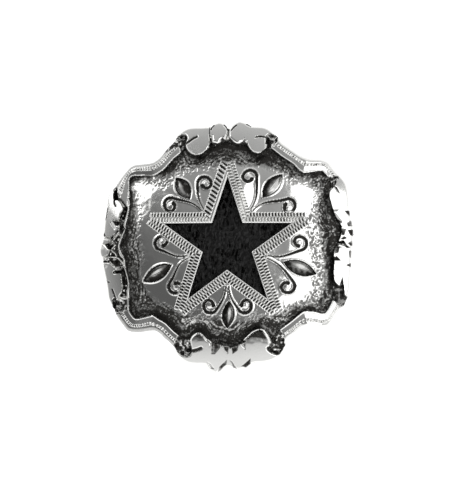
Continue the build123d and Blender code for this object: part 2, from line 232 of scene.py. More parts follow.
# The scrolls' lobes. Columns: width of the rounded edge, outline
scrolls = [
    (0.35, [  # upper left scroll
        (-9.05, 19.04), (-9.41, 19.67), (-8.76, 20.56), (-7.67, 21.45), (-5.67, 21.78), (-3.32, 21.77),
        (-3.10, 19.64), (-3.06, 17.96), (-3.31, 17.29), (-4.22, 16.33), (-5.17, 15.93), (-6.40, 16.16),
        (-7.20, 16.70), (-7.60, 17.42), (-7.66, 18.20), (-7.42, 18.98), (-7.56, 19.43), (-8.10, 19.48),
    ]),
    (0.4, [  # upper left crest
        (-4.00, 21.30), (-3.43, 21.66), (-2.45, 22.22), (-1.57, 22.44), (-0.56, 22.10), (0.37, 20.98),
        (0.06, 20.20), (-0.12, 19.41), (-0.33, 19.07), (-0.58, 19.19), (-0.88, 19.64), (-1.09, 19.23),
        (-1.30, 18.78), (-1.78, 18.56), (-2.34, 18.74), (-2.80, 19.19), (-3.95, 19.64),
    ]),
    (0.9, [  # left facets
        (-3.54, 21.43), (-2.45, 22.22), (-1.57, 22.44), (-0.56, 22.10), (0.48, 20.98), (0.39, 20.08),
        (-0.01, 18.63), (-0.55, 18.20), (-0.85, 18.47), (-1.06, 18.02), (-1.76, 17.66), (-2.32, 17.76),
        (-2.92, 17.94), (-3.34, 18.74),
    ]),
    (0.5, [  # upper right crest
        (0.16, 20.31), (0.35, 21.43), (0.99, 22.22), (2.30, 22.67), (3.64, 22.33), (4.55, 21.44),
        (4.61, 19.19), (3.29, 19.08), (2.89, 19.41), (2.64, 18.92), (2.10, 18.47), (1.43, 18.63),
        (0.68, 19.19), (0.18, 19.75),
    ]),
    (0.9, [  # right facets
        (-0.37, 20.31), (-0.09, 21.43), (0.99, 22.22), (2.30, 22.67), (4.11, 21.44), (4.19, 18.52),
        (3.24, 17.73), (2.66, 17.96), (2.12, 17.67), (1.34, 17.66), (0.44, 18.25), (-0.33, 19.07),
    ]),
    (0.35, [  # upper right scroll
        (3.22, 21.43), (4.54, 21.66), (6.74, 21.67), (8.29, 21.01), (9.42, 19.67), (9.90, 18.33),
        (9.01, 18.99), (8.34, 19.21), (7.68, 19.43), (7.07, 19.47), (6.81, 19.20), (6.76, 18.64),
        (6.80, 17.19), (6.37, 16.60), (5.35, 16.15), (4.69, 16.28), (3.90, 16.91), (3.33, 17.73),
        (3.08, 18.74),
    ]),
    (0.45, [  # lower left scroll
        (-2.85, -16.86), (-3.50, -16.31), (-4.37, -15.28), (-5.15, -14.97), (-6.27, -15.32), (-6.81, -16.41),
        (-6.74, -17.17), (-6.67, -17.94), (-6.92, -18.85), (-8.04, -18.76), (-9.03, -17.97), (-9.37, -18.40),
        (-9.29, -19.23), (-8.20, -20.54), (-6.77, -21.31), (-5.19, -20.82), (-3.41, -21.00), (-2.69, -19.26),
    ]),
    (0.35, [  # lower crests
        (-3.29, -16.64), (-2.84, -16.64), (-1.41, -16.90), (-1.08, -17.08), (0.14, -17.19), (0.46, -17.47),
        (1.80, -16.97), (2.47, -16.75), (3.36, -16.42), (4.45, -17.07), (4.12, -21.10), (3.78, -21.21),
        (2.99, -21.87), (1.88, -22.09), (1.00, -21.87), (0.00, -21.98), (-0.79, -22.31), (-2.02, -22.85),
        (-2.78, -22.30), (-3.65, -21.54), (-4.25, -20.78), (-3.56, -18.38),
    ]),
    (0.5, [  # lower right scroll
        (2.81, -16.31), (4.28, -15.06), (5.61, -14.45), (6.91, -15.05), (7.54, -16.40), (7.51, -17.60),
        (7.07, -17.85), (7.71, -18.41), (8.80, -18.62), (9.75, -17.37), (10.46, -17.69), (9.98, -19.22),
        (8.75, -20.32), (6.75, -21.09), (4.12, -21.10), (3.25, -20.56), (3.32, -18.17),
    ]),
    (0.3, [  # left upper lobe
        (-21.86, 6.44), (-21.48, 8.64), (-21.26, 9.42), (-20.85, 10.06), (-20.24, 10.24), (-20.03, 9.69),
        (-20.13, 8.89), (-20.02, 8.51), (-19.67, 8.44), (-19.27, 8.32), (-18.75, 7.71), (-18.36, 6.91),
        (-18.41, 6.29), (-18.80, 5.83), (-18.94, 5.32), (-19.01, 4.73), (-20.33, 4.43), (-21.97, 4.39),
    ]),
    (0.3, [  # left shoulder
        (-21.98, 5.27), (-20.51, 5.18), (-19.96, 4.78), (-18.94, 4.73), (-18.90, 3.90), (-19.00, 3.28),
        (-18.97, 2.75), (-19.09, 1.72), (-19.55, 2.12), (-20.06, 1.74), (-20.57, 1.67), (-22.14, 1.73),
        (-22.22, 2.80),
    ]),
    (0.3, [  # left waist
        (-22.25, 1.56), (-20.57, 1.53), (-20.42, 1.39), (-20.70, 0.93), (-20.69, 0.49), (-21.55, 0.45),
        (-22.40, 0.53),
    ]),
    (0.3, [  # left eye
        (-22.82, 0.79), (-22.05, 0.78), (-21.55, 0.48), (-21.12, -0.16), (-20.82, -0.30), (-20.92, -1.33),
        (-21.41, -1.67), (-21.98, -1.86), (-22.97, -1.84), (-23.24, -0.62),
    ]),
    (0.3, [  # left lower lobe
        (-22.40, -2.67), (-20.92, -2.58), (-20.22, -3.18), (-18.75, -3.24), (-18.61, -3.81), (-18.78, -4.21),
        (-19.80, -4.31), (-20.09, -4.49), (-18.78, -4.48), (-18.59, -5.57), (-18.41, -6.79), (-18.62, -8.01),
        (-19.05, -8.61), (-19.54, -9.82), (-19.86, -9.41), (-20.09, -9.07), (-20.29, -9.36), (-20.27, -9.74),
        (-20.35, -10.95), (-20.93, -10.27), (-22.01, -7.28), (-22.55, -3.75),
    ]),
    (0.12, [  # right upper lobe
        (17.67, 8.87), (17.83, 9.89), (18.51, 10.53), (19.22, 11.94), (20.20, 12.47), (20.82, 12.22),
        (21.46, 10.45), (21.60, 8.92), (22.05, 6.14), (21.14, 6.12), (20.28, 6.06), (19.55, 6.10),
        (18.68, 6.21), (18.19, 6.38), (17.80, 7.85),
    ]),
    (0.12, [  # right shoulder
        (18.17, 6.18), (18.68, 6.44), (19.67, 6.35), (20.53, 6.37), (21.31, 6.38), (22.05, 6.39),
        (22.27, 3.40), (20.79, 3.33), (20.01, 3.32), (19.36, 4.02), (18.72, 4.72), (18.22, 5.45),
    ]),
    (0.12, [  # right waist
        (19.76, 3.42), (20.92, 3.48), (22.27, 3.46), (22.27, -0.19), (21.17, -0.20), (20.68, 0.17),
        (20.19, 0.92), (19.57, 0.78), (19.13, 0.98), (19.57, 2.05), (19.86, 2.56),
    ]),
    (0.12, [  # right lower lobe
        (18.54, -1.00), (18.78, -0.24), (19.45, 0.28), (20.31, 0.16), (20.93, -0.21), (22.08, -0.19),
        (22.07, -4.22), (21.50, -7.75), (21.04, -8.64), (20.62, -8.82), (20.26, -8.40), (20.15, -6.77),
        (19.66, -7.08), (19.29, -6.93), (18.56, -6.04), (18.45, -4.28), (18.58, -2.51), (18.44, -1.76),
    ]),
]

# Chips cut out of the scrolls with a graver. Columns: how much oxide stays in it, outline
chips = [
    (0.7, [(-3.17, 18.97), (-2.71, 18.18), (-3.06, 17.94)]),
    (0.75, [(-1.30, 18.74), (-0.87, 19.41), (-0.76, 18.47), (-1.06, 18.16)]),
    (0.75, [(-0.12, 19.50), (0.99, 18.38), (0.35, 18.42)]),
    (0.7, [(2.56, 18.38), (2.89, 19.23), (3.05, 18.18), (2.75, 17.98)]),
    (0.85, [(-2.85, -16.73), (-1.41, -16.90), (-1.36, -17.62), (-2.34, -18.78), (-2.94, -18.73)]),
    (0.8, [(-1.01, -17.39), (0.15, -17.53), (-0.02, -18.82), (-0.44, -18.34)]),
    (0.9, [(0.65, -17.53), (1.90, -17.15), (1.66, -18.12), (0.79, -18.75)]),
    (0.5, [(2.14, -16.82), (3.18, -16.55), (3.06, -18.06), (2.45, -17.51)]),
    (0.45, [(-3.76, -20.07), (-3.13, -20.46), (-2.44, -21.43), (-3.19, -21.22)]),
    (0.8, [
        (-0.19, -19.76), (-0.36, -20.57), (-1.27, -21.44), (-1.85, -21.89), (-1.61, -21.02), (-0.92, -20.39),
    ]),
    (0.65, [(0.23, -19.80), (0.72, -20.11), (1.50, -21.37), (0.87, -21.16)]),
    (0.8, [(3.92, -19.55), (3.89, -20.49), (3.06, -21.12), (2.25, -20.91), (3.08, -20.28)]),
    (0.9, [(-20.33, 4.47), (-18.86, 4.34), (-19.15, 3.92), (-19.81, 3.68)]),
    (0.0, [(-20.80, 4.33), (-20.40, 4.40), (-19.66, 3.18), (-20.03, 3.05)]),
    (0.8, [(-22.00, 2.72), (-21.48, 1.93), (-22.07, 1.87)]),
    (0.85, [(-21.52, 0.41), (-20.09, 0.36), (-20.75, -0.20)]),
    (0.7, [(-22.12, -2.24), (-21.38, -2.33), (-21.86, -2.62)]),
    (0.85, [(-20.62, -2.29), (-19.33, -2.33), (-19.56, -2.93), (-20.12, -2.97)]),
    (0.7, [(-19.87, -3.28), (-19.03, -3.37), (-18.78, -4.21), (-19.93, -4.28)]),
    (0.8, [(-21.49, -5.77), (-20.68, -6.14), (-21.16, -6.32)]),
    (0.3, [(-21.84, -3.25), (-21.28, -3.31), (-21.67, -3.76)]),
    (0.9, [(18.53, 10.56), (18.97, 10.42), (19.60, 9.25), (19.08, 9.60)]),
    (0.6, [(18.02, 6.42), (19.46, 6.50), (19.05, 6.08), (18.19, 6.11)]),
    (0.45, [(18.19, 6.00), (18.78, 5.83), (19.93, 4.43), (19.72, 3.82), (18.89, 4.59)]),
    (0.95, [(20.36, 6.24), (21.26, 6.22), (21.26, 5.23), (20.81, 5.68)]),
    (0.9, [(19.10, 4.77), (19.48, 4.60), (20.07, 4.11), (19.21, 4.03)]),
    (0.8, [(20.79, 4.08), (21.51, 4.56), (21.69, 3.53), (20.97, 3.48)]),
    (0.95, [(20.90, 2.86), (21.83, 2.91), (21.76, 1.80), (21.38, 1.93)]),
    (0.75, [(19.87, 3.15), (20.66, 3.02), (20.35, 1.92), (19.90, 1.98)]),
    (0.95, [(19.70, 1.27), (20.32, 1.77), (20.84, 1.43), (20.18, 1.17)]),
    (0.9, [(20.94, 0.55), (21.63, 0.98), (21.73, 0.03), (21.39, 0.13)]),
    (0.85, [(18.87, -0.40), (19.18, 0.06), (20.15, -0.14), (19.49, -0.32)]),
    (0.9, [(21.15, -0.86), (21.46, -0.68), (21.45, -2.06), (21.20, -1.82)]),
    (0.92, [(18.70, -2.07), (18.97, -1.67), (19.83, -2.54), (18.83, -2.49)]),
    (0.62, [
        (18.28, -7.25), (19.90, -7.23), (20.23, -8.70), (21.09, -8.69), (20.67, -9.68), (20.21, -10.39),
        (19.41, -10.57), (18.84, -9.95), (18.33, -9.15),
    ]),
    (0.95, [(-20.44, 4.58), (-18.98, 4.52), (-18.93, 3.81), (-19.55, 3.64), (-19.92, 3.89)]),
    (0.75, [(18.78, -0.24), (19.57, 0.03), (19.33, -1.14), (18.68, -1.30)]),
    (0.95, [(18.49, -1.71), (19.57, -2.50), (18.58, -2.56)]),
    (0.8, [(21.19, -0.81), (21.64, -0.85), (21.59, -1.51)]),
    (0.92, [(20.62, -3.29), (21.53, -2.87), (21.53, -3.68)]),
    (0.9, [(20.04, -5.26), (20.22, -7.17), (19.44, -7.03)]),
]

# Cuts of the graver between the lobes. Columns: width, line
cuts = [
    (0.42, [(-5.50, 19.29), (-6.21, 18.93), (-6.80, 18.49), (-7.39, 18.09)]),
    (0.60, [(-4.74, -17.77), (-5.44, -18.03), (-6.34, -18.20), (-7.12, -18.15)]),
    (0.08, [(-3.28, 20.98), (-3.28, 19.64), (-3.16, 18.41)]),
    (0.14, [(0.08, 20.87), (-0.01, 20.08), (-0.03, 19.41)]),
    (0.26, [(4.79, 19.15), (5.60, 19.29), (6.42, 19.16)]),
    (0.24, [(6.99, 19.03), (6.97, 18.31), (6.90, 17.52)]),
    (0.22, [(-3.04, 20.49), (-2.85, 20.94), (-2.53, 21.25)]),
    (0.22, [(-0.75, 21.30), (-0.38, 20.89), (-0.15, 20.44)]),
    (0.24, [(0.56, 20.40), (0.92, 20.89), (1.38, 21.25)]),
    (0.22, [(3.14, 21.43), (3.56, 21.25), (3.90, 21.03)]),
    (0.30, [(-19.84, 10.29), (-19.87, 9.86), (-19.94, 9.15), (-19.98, 8.55)]),
    (0.32, [(-19.98, 8.62), (-20.12, 8.09), (-20.08, 7.62), (-19.87, 7.20)]),
    (0.30, [
        (-19.20, 8.50), (-18.68, 7.96), (-18.12, 7.17), (-17.97, 6.46), (-18.25, 5.65), (-18.61, 4.98),
    ]),
    (0.28, [(-19.33, 2.79), (-19.91, 2.23), (-20.53, 1.71)]),
    (0.12, [(-21.30, 6.85), (-21.43, 5.89), (-21.62, 4.80)]),
    (0.24, [(-20.44, -7.41), (-20.14, -8.19), (-19.84, -9.04)]),
    (0.18, [(-19.03, -3.37), (-18.61, -4.22)]),
]

# Thin bright ridges beside the scrolls and round their bulbs. Columns: width, foot over the trough, line
ridges = [
    (0.50, 0.25, [
        (-18.35, 9.27), (-17.73, 8.30), (-17.49, 7.34), (-17.65, 6.11), (-18.03, 4.75), (-18.30, 3.87),
        (-18.02, 3.25), (-18.35, 2.58), (-18.77, 1.56), (-19.19, 0.41), (-19.10, -0.68), (-18.88, -1.36),
        (-18.25, -2.12), (-18.16, -3.14), (-18.02, -4.09), (-17.64, -5.45), (-17.51, -6.80), (-17.72, -7.88),
        (-17.61, -9.24), (-17.63, -10.72),
    ]),
    (0.28, 0.25, [(-19.51, 2.15), (-20.06, 1.52), (-20.51, 0.96), (-20.46, 0.57)]),
    (0.28, 0.25, [
        (-19.95, 0.35), (-20.35, -0.06), (-20.66, -0.45), (-20.38, -0.81), (-19.98, -1.09), (-19.76, -1.49),
    ]),
    (0.30, 0.25, [
        (-21.66, -1.95), (-21.10, -1.76), (-20.20, -1.78), (-19.41, -2.01), (-18.72, -2.75), (-18.30, -3.61),
        (-17.88, -4.52), (-17.61, -5.45),
    ]),
    (0.20, 0.25, [(-21.86, 1.65), (-21.06, 1.65), (-20.26, 1.65)]),
    (0.20, 0.25, [(-20.96, -2.39), (-20.57, -2.86), (-20.12, -3.14)]),
    (0.20, 0.25, [(19.76, 3.24), (20.79, 3.23), (21.83, 3.19)]),
    (0.16, 0.25, [(20.06, 2.00), (20.68, 1.66), (20.95, 1.26)]),
    (0.22, 0.25, [(-6.61, 15.49), (-5.49, 15.35), (-4.49, 15.57)]),
    (0.28, 0.9, [
        (-7.35, 18.04), (-7.07, 17.13), (-6.48, 16.44), (-5.58, 16.12), (-4.69, 16.26), (-3.99, 16.79),
        (-3.29, 17.40),
    ]),
    (0.28, 0.9, [
        (3.58, 17.76), (4.02, 17.04), (4.63, 16.54), (5.30, 16.40), (5.97, 16.55), (6.52, 17.09),
        (6.74, 17.77),
    ]),
    (0.30, 0.9, [
        (-6.55, -16.45), (-6.21, -15.77), (-5.56, -15.25), (-4.95, -15.15), (-4.31, -15.50), (-3.62, -16.13),
        (-2.94, -16.73),
    ]),
    (0.30, 0.9, [
        (2.84, -16.31), (3.56, -15.68), (4.27, -15.08), (4.99, -14.69), (5.69, -14.52), (6.39, -14.72),
    ]),
    (0.42, 0.9, [(6.32, -14.76), (6.80, -15.42), (7.14, -16.12), (7.37, -16.78)]),
]

# Domed bulbs of the scrolls. Columns: x, y, radius, how far the upper half sinks, painted shade on that half
bulbs = [
    (-5.19, -16.76, 1.6, 0.26, 0.88),
    (5.37, -17.07, 2.3, 0.34, 0.93),
    (-22.18, -0.63, 1.0, 0.1, 0.0),
]

# Where the stipple reaches further into the field. Columns: x, y, reach along x, reach along y, how much
stipples = [
    (17.0, 3.0, 3.0, 5.0, 1.8),
    (13.4, 3.4, 1.8, 2.6, 1.9),
    (17.5, -6.0, 3.8, 6.5, 3.0),
    (-12.0, 12.0, 3.0, 2.0, 1.2),
    (-5.0, -12.0, 3.0, 2.0, 1.2),
    (-15.3, 6.0, 2.0, 3.5, -1.2),
]

# Where the trough gets painted shade, and painted light where the share is negative, reaching onto the
# field's edge. Columns: x, y, reach along x, reach along y, share of what is bare that is painted dark
painted_trough_shade = [
    (0.0, 17.0, 8.0, 2.4, 0.6),
    (-11.0, -13.5, 3.0, 2.0, 0.4),
    (-1.0, -14.5, 5.0, 1.6, 0.4),
    (-16.0, -4.0, 2.5, 9.0, 0.2),
    (-12.0, -11.5, 4.0, 3.0, 0.35),
    (-15.5, 6.5, 2.0, 4.0, -0.6),
    (18.2, 4.4, 1.7, 4.6, 0.4),
]

# Where the buffed field leans off its ball. Columns: x, y, reach along x, reach along y, how far it leans
# right, how far it leans up
dents = [
    (3.6, 8.5, 3.0, 4.2, 0.2, 0.0),
    (10.0, 0.8, 1.6, 2.0, -0.08, 0.0),
    (-15.9, 5.2, 1.8, 2.2, 0.0, 0.035),
]

# The five leaves, each with its pair of curls, in the frame of a line that points out from the star's
# middle. Columns: degrees from +X, how far out and how far aside the leaf's near end is, the same for its
# far end, its breadth, which side of it gets painted shade (1 is the anticlockwise one), how wide the
# painted highlight streak on the other side is as a share of its half breadth, how far along that painted
# highlight is brightest (-1 near to 1 far), then how far out and how far aside each spiral's middle is, the
# anticlockwise spiral first
motifs = [
    (54.0, 10.15, -0.20, 15.50, -0.50, 2.45, 1, 0.5, 0.3, 11.67, 3.93, 11.55, 4.85),
    (126.0, 10.26, 0.65, 14.80, 0.48, 2.60, -1, 0.3, 0.5, 11.38, 4.16, 10.86, 3.12),
    (198.0, 10.40, 0.46, 16.20, 1.50, 2.50, 1, 0.32, 0.05, 10.86, 4.39, 10.80, 3.93),
    (270.0, 9.95, 0.35, 14.75, -0.10, 2.20, -1, 0.24, -0.2, 10.74, 3.18, 10.74, 3.18),
    (342.0, 10.30, 0.0, 16.35, -0.20, 2.55, -1, 0.3, 0.05, 11.90, 4.16, 12.19, 3.93),
]

# The band's two rows of slanted cuts. Columns: how far out from the star's edge the row starts and ends, its
# shift in pitches, height of a cut's cosine hump over which oxide shows, 1 for the inner row
cut_rows = [
    (0.12, 1.0, 0.0, 0.66, 1),
    (1.06, 1.8, 0.5, 0.58, 0),
]

# A post with its peened head, from below. Columns: distance from its axis, radius of the ball that the
# ring lies on
post_rings = [
    (0.55, 56.27), (1.10, 56.30), (1.55, 56.40), (1.90, 56.58), (2.12, 56.80), (2.20, 57.00), (2.13, 57.14),
    (1.90, 57.17), (1.25, 57.17), (1.25, 58.80), (1.25, 60.80),
]


def linear(hex_colour):
    """The linear colour of an sRGB hex value."""
    parts = [int(hex_colour[i:i + 2], 16) / 255 for i in (1, 3, 5)]
    return [c / 12.92 if c <= 0.04045 else ((c + 0.055) / 1.055) ** 2.4 for c in parts] + [1.0]


def smooth(low, high, value):
    """0 below low, 1 above high, and an S-shaped rise between them."""
    share = np.clip((value - low) / (high - low), 0, 1)
    return share * share * (3 - 2 * share)


def window(value, start, full, fade, end):
    """0 outside start and end, 1 from full to fade, and S-shaped slopes between them."""
    return smooth(start, full, value) * (1 - smooth(fade, end, value))


def bell(value, middle, reach):
    """1 at the middle, and e to the minus square of the distance from it in reaches elsewhere."""
    return np.exp(-((value - middle) / reach) ** 2)


def patch(x, y, row):
    """A bell in both directions, from a table row that starts with x, y, reach along x and reach along y."""
    return bell(x, row[0], row[2]) * bell(y, row[1], row[3])


def shoulder(share):
    """Rise of a rounded edge: steep at 0 and level at 1, one less the square of what is left to go."""
    return 1 - (1 - np.clip(share, 0, 1)) ** 2


def ball_height(x, y, radius):
    """Height of a ball about the common centre over a place."""
    return BALL_CENTRE + np.sqrt(radius ** 2 - x ** 2 - y ** 2)


def curve_through(points, steps, closed=True):
    """A smooth line through the points: between two of them a cubic whose slope at each end is 0.42 of
    the way from the point before to the point after."""
    points = np.array(points, float)
    if closed:
        points = np.concatenate((points[-1:], points, points[:2]))
    else:
        points = np.concatenate((points[:1], points, points[-1:]))
    before, start, end, after = points[:-3], points[1:-2], points[2:-1], points[3:]
    t = np.linspace(0, 1, steps, endpoint=False)[None, :, None]
    slope_in = 0.42 * (end - before)[:, None]
    slope_out = 0.42 * (after - start)[:, None]
    run = (2 * t ** 3 - 3 * t ** 2 + 1) * start[:, None] + (t ** 3 - 2 * t ** 2 + t) * slope_in
    run = run + (3 * t ** 2 - 2 * t ** 3) * end[:, None] + (t ** 3 - t ** 2) * slope_out
    return np.concatenate((run.reshape(-1, 2), end[-1:]))


def line_distance(ticks, line, reach):
    """Distance of each grid point from a line, but no more than reach, and how far along the line its
    nearest place is. Each straight stretch only looks at the grid round it."""
    gap = np.full((len(ticks), len(ticks)), float(reach))
    along = np.zeros_like(gap)
    done = 0.0
    for start, end in zip(line[:-1], line[1:]):
        low, high = np.minimum(start, end) - reach, np.maximum(start, end) + reach
        columns = slice(*np.searchsorted(ticks, (low[0], high[0])))
        rows = slice(*np.searchsorted(ticks, (low[1], high[1])))
        step = end - start
        length = math.hypot(*step)
        if length == 0:
            continue
        x = ticks[None, columns] - start[0]
        y = ticks[rows, None] - start[1]
        share = np.clip((x * step[0] + y * step[1]) / length ** 2, 0, 1)
        distance = np.hypot(x - share * step[0], y - share * step[1])
        nearer = distance < gap[rows, columns]
        gap[rows, columns][nearer] = distance[nearer]
        along[rows, columns][nearer] = (done + share * length)[nearer]
        done += length
    return gap, along


def enclosed(ticks, loop):
    """Which grid points lie in a closed line: those that it crosses an odd number of times to the right."""
    inside = np.zeros((len(ticks), len(ticks)), bool)
    for start, end in zip(loop[:-1], loop[1:]):
        low, high = sorted((start, end), key=lambda place: place[1])
        rows = slice(*np.searchsorted(ticks, (low[1], high[1])))
        if rows.start == rows.stop:
            continue
        crossing = low[0] + (ticks[rows] - low[1]) * (high[0] - low[0]) / (high[1] - low[1])
        inside[rows] ^= ticks[None, :] < crossing[:, None]
    return inside


def signed_distance(ticks, loop, reach):
    """Distance from a closed line, negative inside it and no more than reach either way."""
    gap = line_distance(ticks, loop, reach)[0]
    return np.where(enclosed(ticks, loop), -gap, gap)


def lumps(x, y, size, seed):
    """Smooth random relief from -1 to 1: random values at the corners of squares of that size in
    millimetres, blended between them by S-shaped weights. The values repeat after 97 squares."""
    count = 97
    values = np.random.default_rng(seed).uniform(-1, 1, (count, count))
    u, v = x / size, y / size
    column, row = np.floor(u).astype(int), np.floor(v).astype(int)
    u, v = smooth(0, 1, u - column), smooth(0, 1, v - row)
    left, right = column % count, (column + 1) % count
    below, above = row % count, (row + 1) % count
    lower = values[below, left] * (1 - u) + values[below, right] * u
    upper = values[above, left] * (1 - u) + values[above, right] * u
    return lower * (1 - v) + upper * v


def cast_grain(x, y, size, seed):
    """Grain of a cast surface: lumps of one size and, half as high, lumps of half that size."""
    return (lumps(x, y, size, seed) + 0.5 * lumps(x, y, size / 2, seed + 1)) / 1.5


def star_places(x, y):
    """Distance out of the star from its nearest edge's line, and the way along that edge from its notch.

    The plane is folded about the star's five axes into one tenth of it, which holds a single edge."""
    angle = np.arctan2(y - STAR_UP, x) - math.pi / 2
    folded = np.abs((angle + TENTH) % (2 * TENTH) - TENTH)
    reach = np.hypot(x, y - STAR_UP)
    notch = NOTCH_RADIUS * np.array((math.cos(TENTH), math.sin(TENTH)))
    edge = (np.array((STAR_RADIUS, 0)) - notch) / EDGE_LENGTH
    u = reach * np.cos(folded) - notch[0]
    v = reach * np.sin(folded) - notch[1]
    return v * edge[0] - u * edge[1], u * edge[0] + v * edge[1]


def star_corners():
    """The star's ten corners, from the upper tip."""
    corner = np.arange(10)
    angle = math.pi / 2 + TENTH * corner
    reach = np.where(corner % 2, NOTCH_RADIUS, STAR_RADIUS)
    return np.stack((reach * np.cos(angle), reach * np.sin(angle) + STAR_UP), axis=1)


def set_out(points, degrees):
    """Points from a motif's frame, whose first axis runs out along its leaf, on the casting's face."""
    turn = math.radians(degrees)
    x = points[:, 0] * math.cos(turn) - points[:, 1] * math.sin(turn)
    y = points[:, 0] * math.sin(turn) + points[:, 1] * math.cos(turn) + STAR_UP
    return np.stack((x, y), axis=1)


def curl_line(along, aside):
    """A curl in its motif's frame: a stem that leans away from the axis, a cubic with handles 0.42 and 0.4
    of its reach long, then a spiral that goes on turning the same way while its radius shrinks to half."""
    start = np.array(CURL_START)
    middle = np.array((along, aside))
    lean = math.radians(CURL_LEAN)
    heading = np.array((math.cos(lean), math.sin(lean)))
    entry = middle + CURL_RADIUS * np.array((math.sin(lean), -math.cos(lean)))
    reach = math.hypot(*(entry - start))
    first = start + 0.42 * reach * np.array((1.0, 0.06))
    second = entry - 0.4 * reach * heading
    t = np.linspace(0, 1, 18, endpoint=False)[:, None]
    stem = (1 - t) ** 3 * start + 3 * (1 - t) ** 2 * t * first
    stem = stem + 3 * (1 - t) * t ** 2 * second + t ** 3 * entry
    turn = np.linspace(lean, lean + math.radians(CURL_TURN), 44)[:, None]
    share = (turn - lean) / (turn[-1] - lean)
    radius = CURL_RADIUS * (1 - 0.3 * smooth(0, 0.45, share) - 0.2 * smooth(0.6, 1.0, share))
    spiral = middle + radius * np.concatenate((np.sin(turn), -np.cos(turn)), axis=1)
    return np.concatenate((stem, spiral))


def carve_leaf(x, y, rise, dark, motif):
    """A leaf: a pocket between two arcs, with a lip along both and a fat ridge down its middle.

    Places inside it are those under a parabola along it on either side of its middle line. Oxide fills
    the pocket. Painted shade keeps it full on one side of the ridge and thinner on the other, and a
    painted highlight streak beside the middle line on that other side, brightest at one spot, clears it."""
    degrees, near, near_aside, far, far_aside, breadth, painted_shade_side, bare, spot = motif
    turn = math.radians(degrees)
    out = x * math.cos(turn) + (y - STAR_UP) * math.sin(turn)
    side = (y - STAR_UP) * math.cos(turn) - x * math.sin(turn)
    side = side - near_aside - (far_aside - near_aside) * (out - near) / (far - near)
    share = (out - (near + far) / 2) / ((far - near) / 2)
    half_breadth = breadth / 2
    inside = half_breadth * np.maximum(1 - share ** 2, -1) - np.abs(side)
    lip = bell(inside, -0.1, 0.13) * (np.abs(share) < 1.15)
    pocket = smooth(-0.02, 0.2, inside)
    ridge = smooth(0.1, 1.1, inside / half_breadth)
    rise = rise + LEAF_LIP * lip - LEAF_DEPTH * pocket + LEAF_RIDGE * ridge * pocket
    dark = dark * (1 - 0.95 * np.maximum(lip, pocket))

    # Painted shade and painted highlight: the pocket stays darkest on one side of the ridge and lighter on
    # the other. A painted highlight streak clears the dark there, and also clears the rim where the streak is
    # wide.
    wide = bare > WIDE_PAINTED_HIGHLIGHT
    from_ridge = -painted_shade_side * side / half_breadth
    streak = 0.3 * window(share, -0.8, 0.0, 0.5, 0.9) + 0.7 * bell(share, spot, 0.65 if wide else 0.3)
    shine = bell(from_ridge, 0.9 * bare, bare) * streak
    shade = (0.92 - 0.25 * smooth(0.0, 0.4, from_ridge)) * (1 - shine)
    shade = shade * (1 + 0.2 * lumps(x, y, 0.5, SEEDS["leaf oxide"]))
    rim = window(inside, -0.04, 0.05, 0.18, 0.4)
    dark = np.maximum(dark, pocket * shade)
    return rise, np.maximum(dark, rim * (1 - 0.8 * shine * wide))


def carve_curl(ticks, x, y, rise, dark, degrees, hand, middle):
    """A curl: a groove that swells from its stem to its round end, with a lip on both sides and a bead
    in its middle, which is a paraboloid. Its hand is 1 on the anticlockwise side of its leaf, or -1."""
    line = set_out(curl_line(*middle) * (1, hand), degrees)
    gap, along = line_distance(ticks, line, 1.0)
    whole = np.hypot(*np.diff(line, axis=0).T).sum()
    from_side = gap - STEM_HALF_WIDTH - CURL_SWELL * smooth(0.05, 0.6, along / whole)
    from_end = line_distance(ticks, line[-3:], 1.0)[0]
    groove = np.maximum(1 - smooth(-0.09, 0.07, from_side), 1 - smooth(0.2, 0.36, from_end))
    lip = bell(from_side, 0.14, 0.1) * (1 - groove)
    bead_x, bead_y = set_out(np.array([middle]) * (1, hand), degrees)[0]
    bead = np.maximum(1 - (np.hypot(x - bead_x, y - bead_y) / CURL_BEAD_RADIUS) ** 2, 0)
    rise = rise + CURL_LIP * lip - CURL_DEPTH * groove + CURL_BEAD * bead * (1 - groove)
    return rise, np.maximum(dark * (1 - 0.9 * lip) * (1 - bead), groove)


def carve_motifs(ticks, x, y, rise, dark):
    """The five leaves on the polished field, each between its two curls."""
    for *leaf, left_out, left_aside, right_out, right_aside in motifs:
        rise, dark = carve_leaf(x, y, rise, dark, leaf)
        rise, dark = carve_curl(ticks, x, y, rise, dark, leaf[0], 1, (left_out, left_aside))
        rise, dark = carve_curl(ticks, x, y, rise, dark, leaf[0], -1, (right_out, right_aside))
    return rise, dark


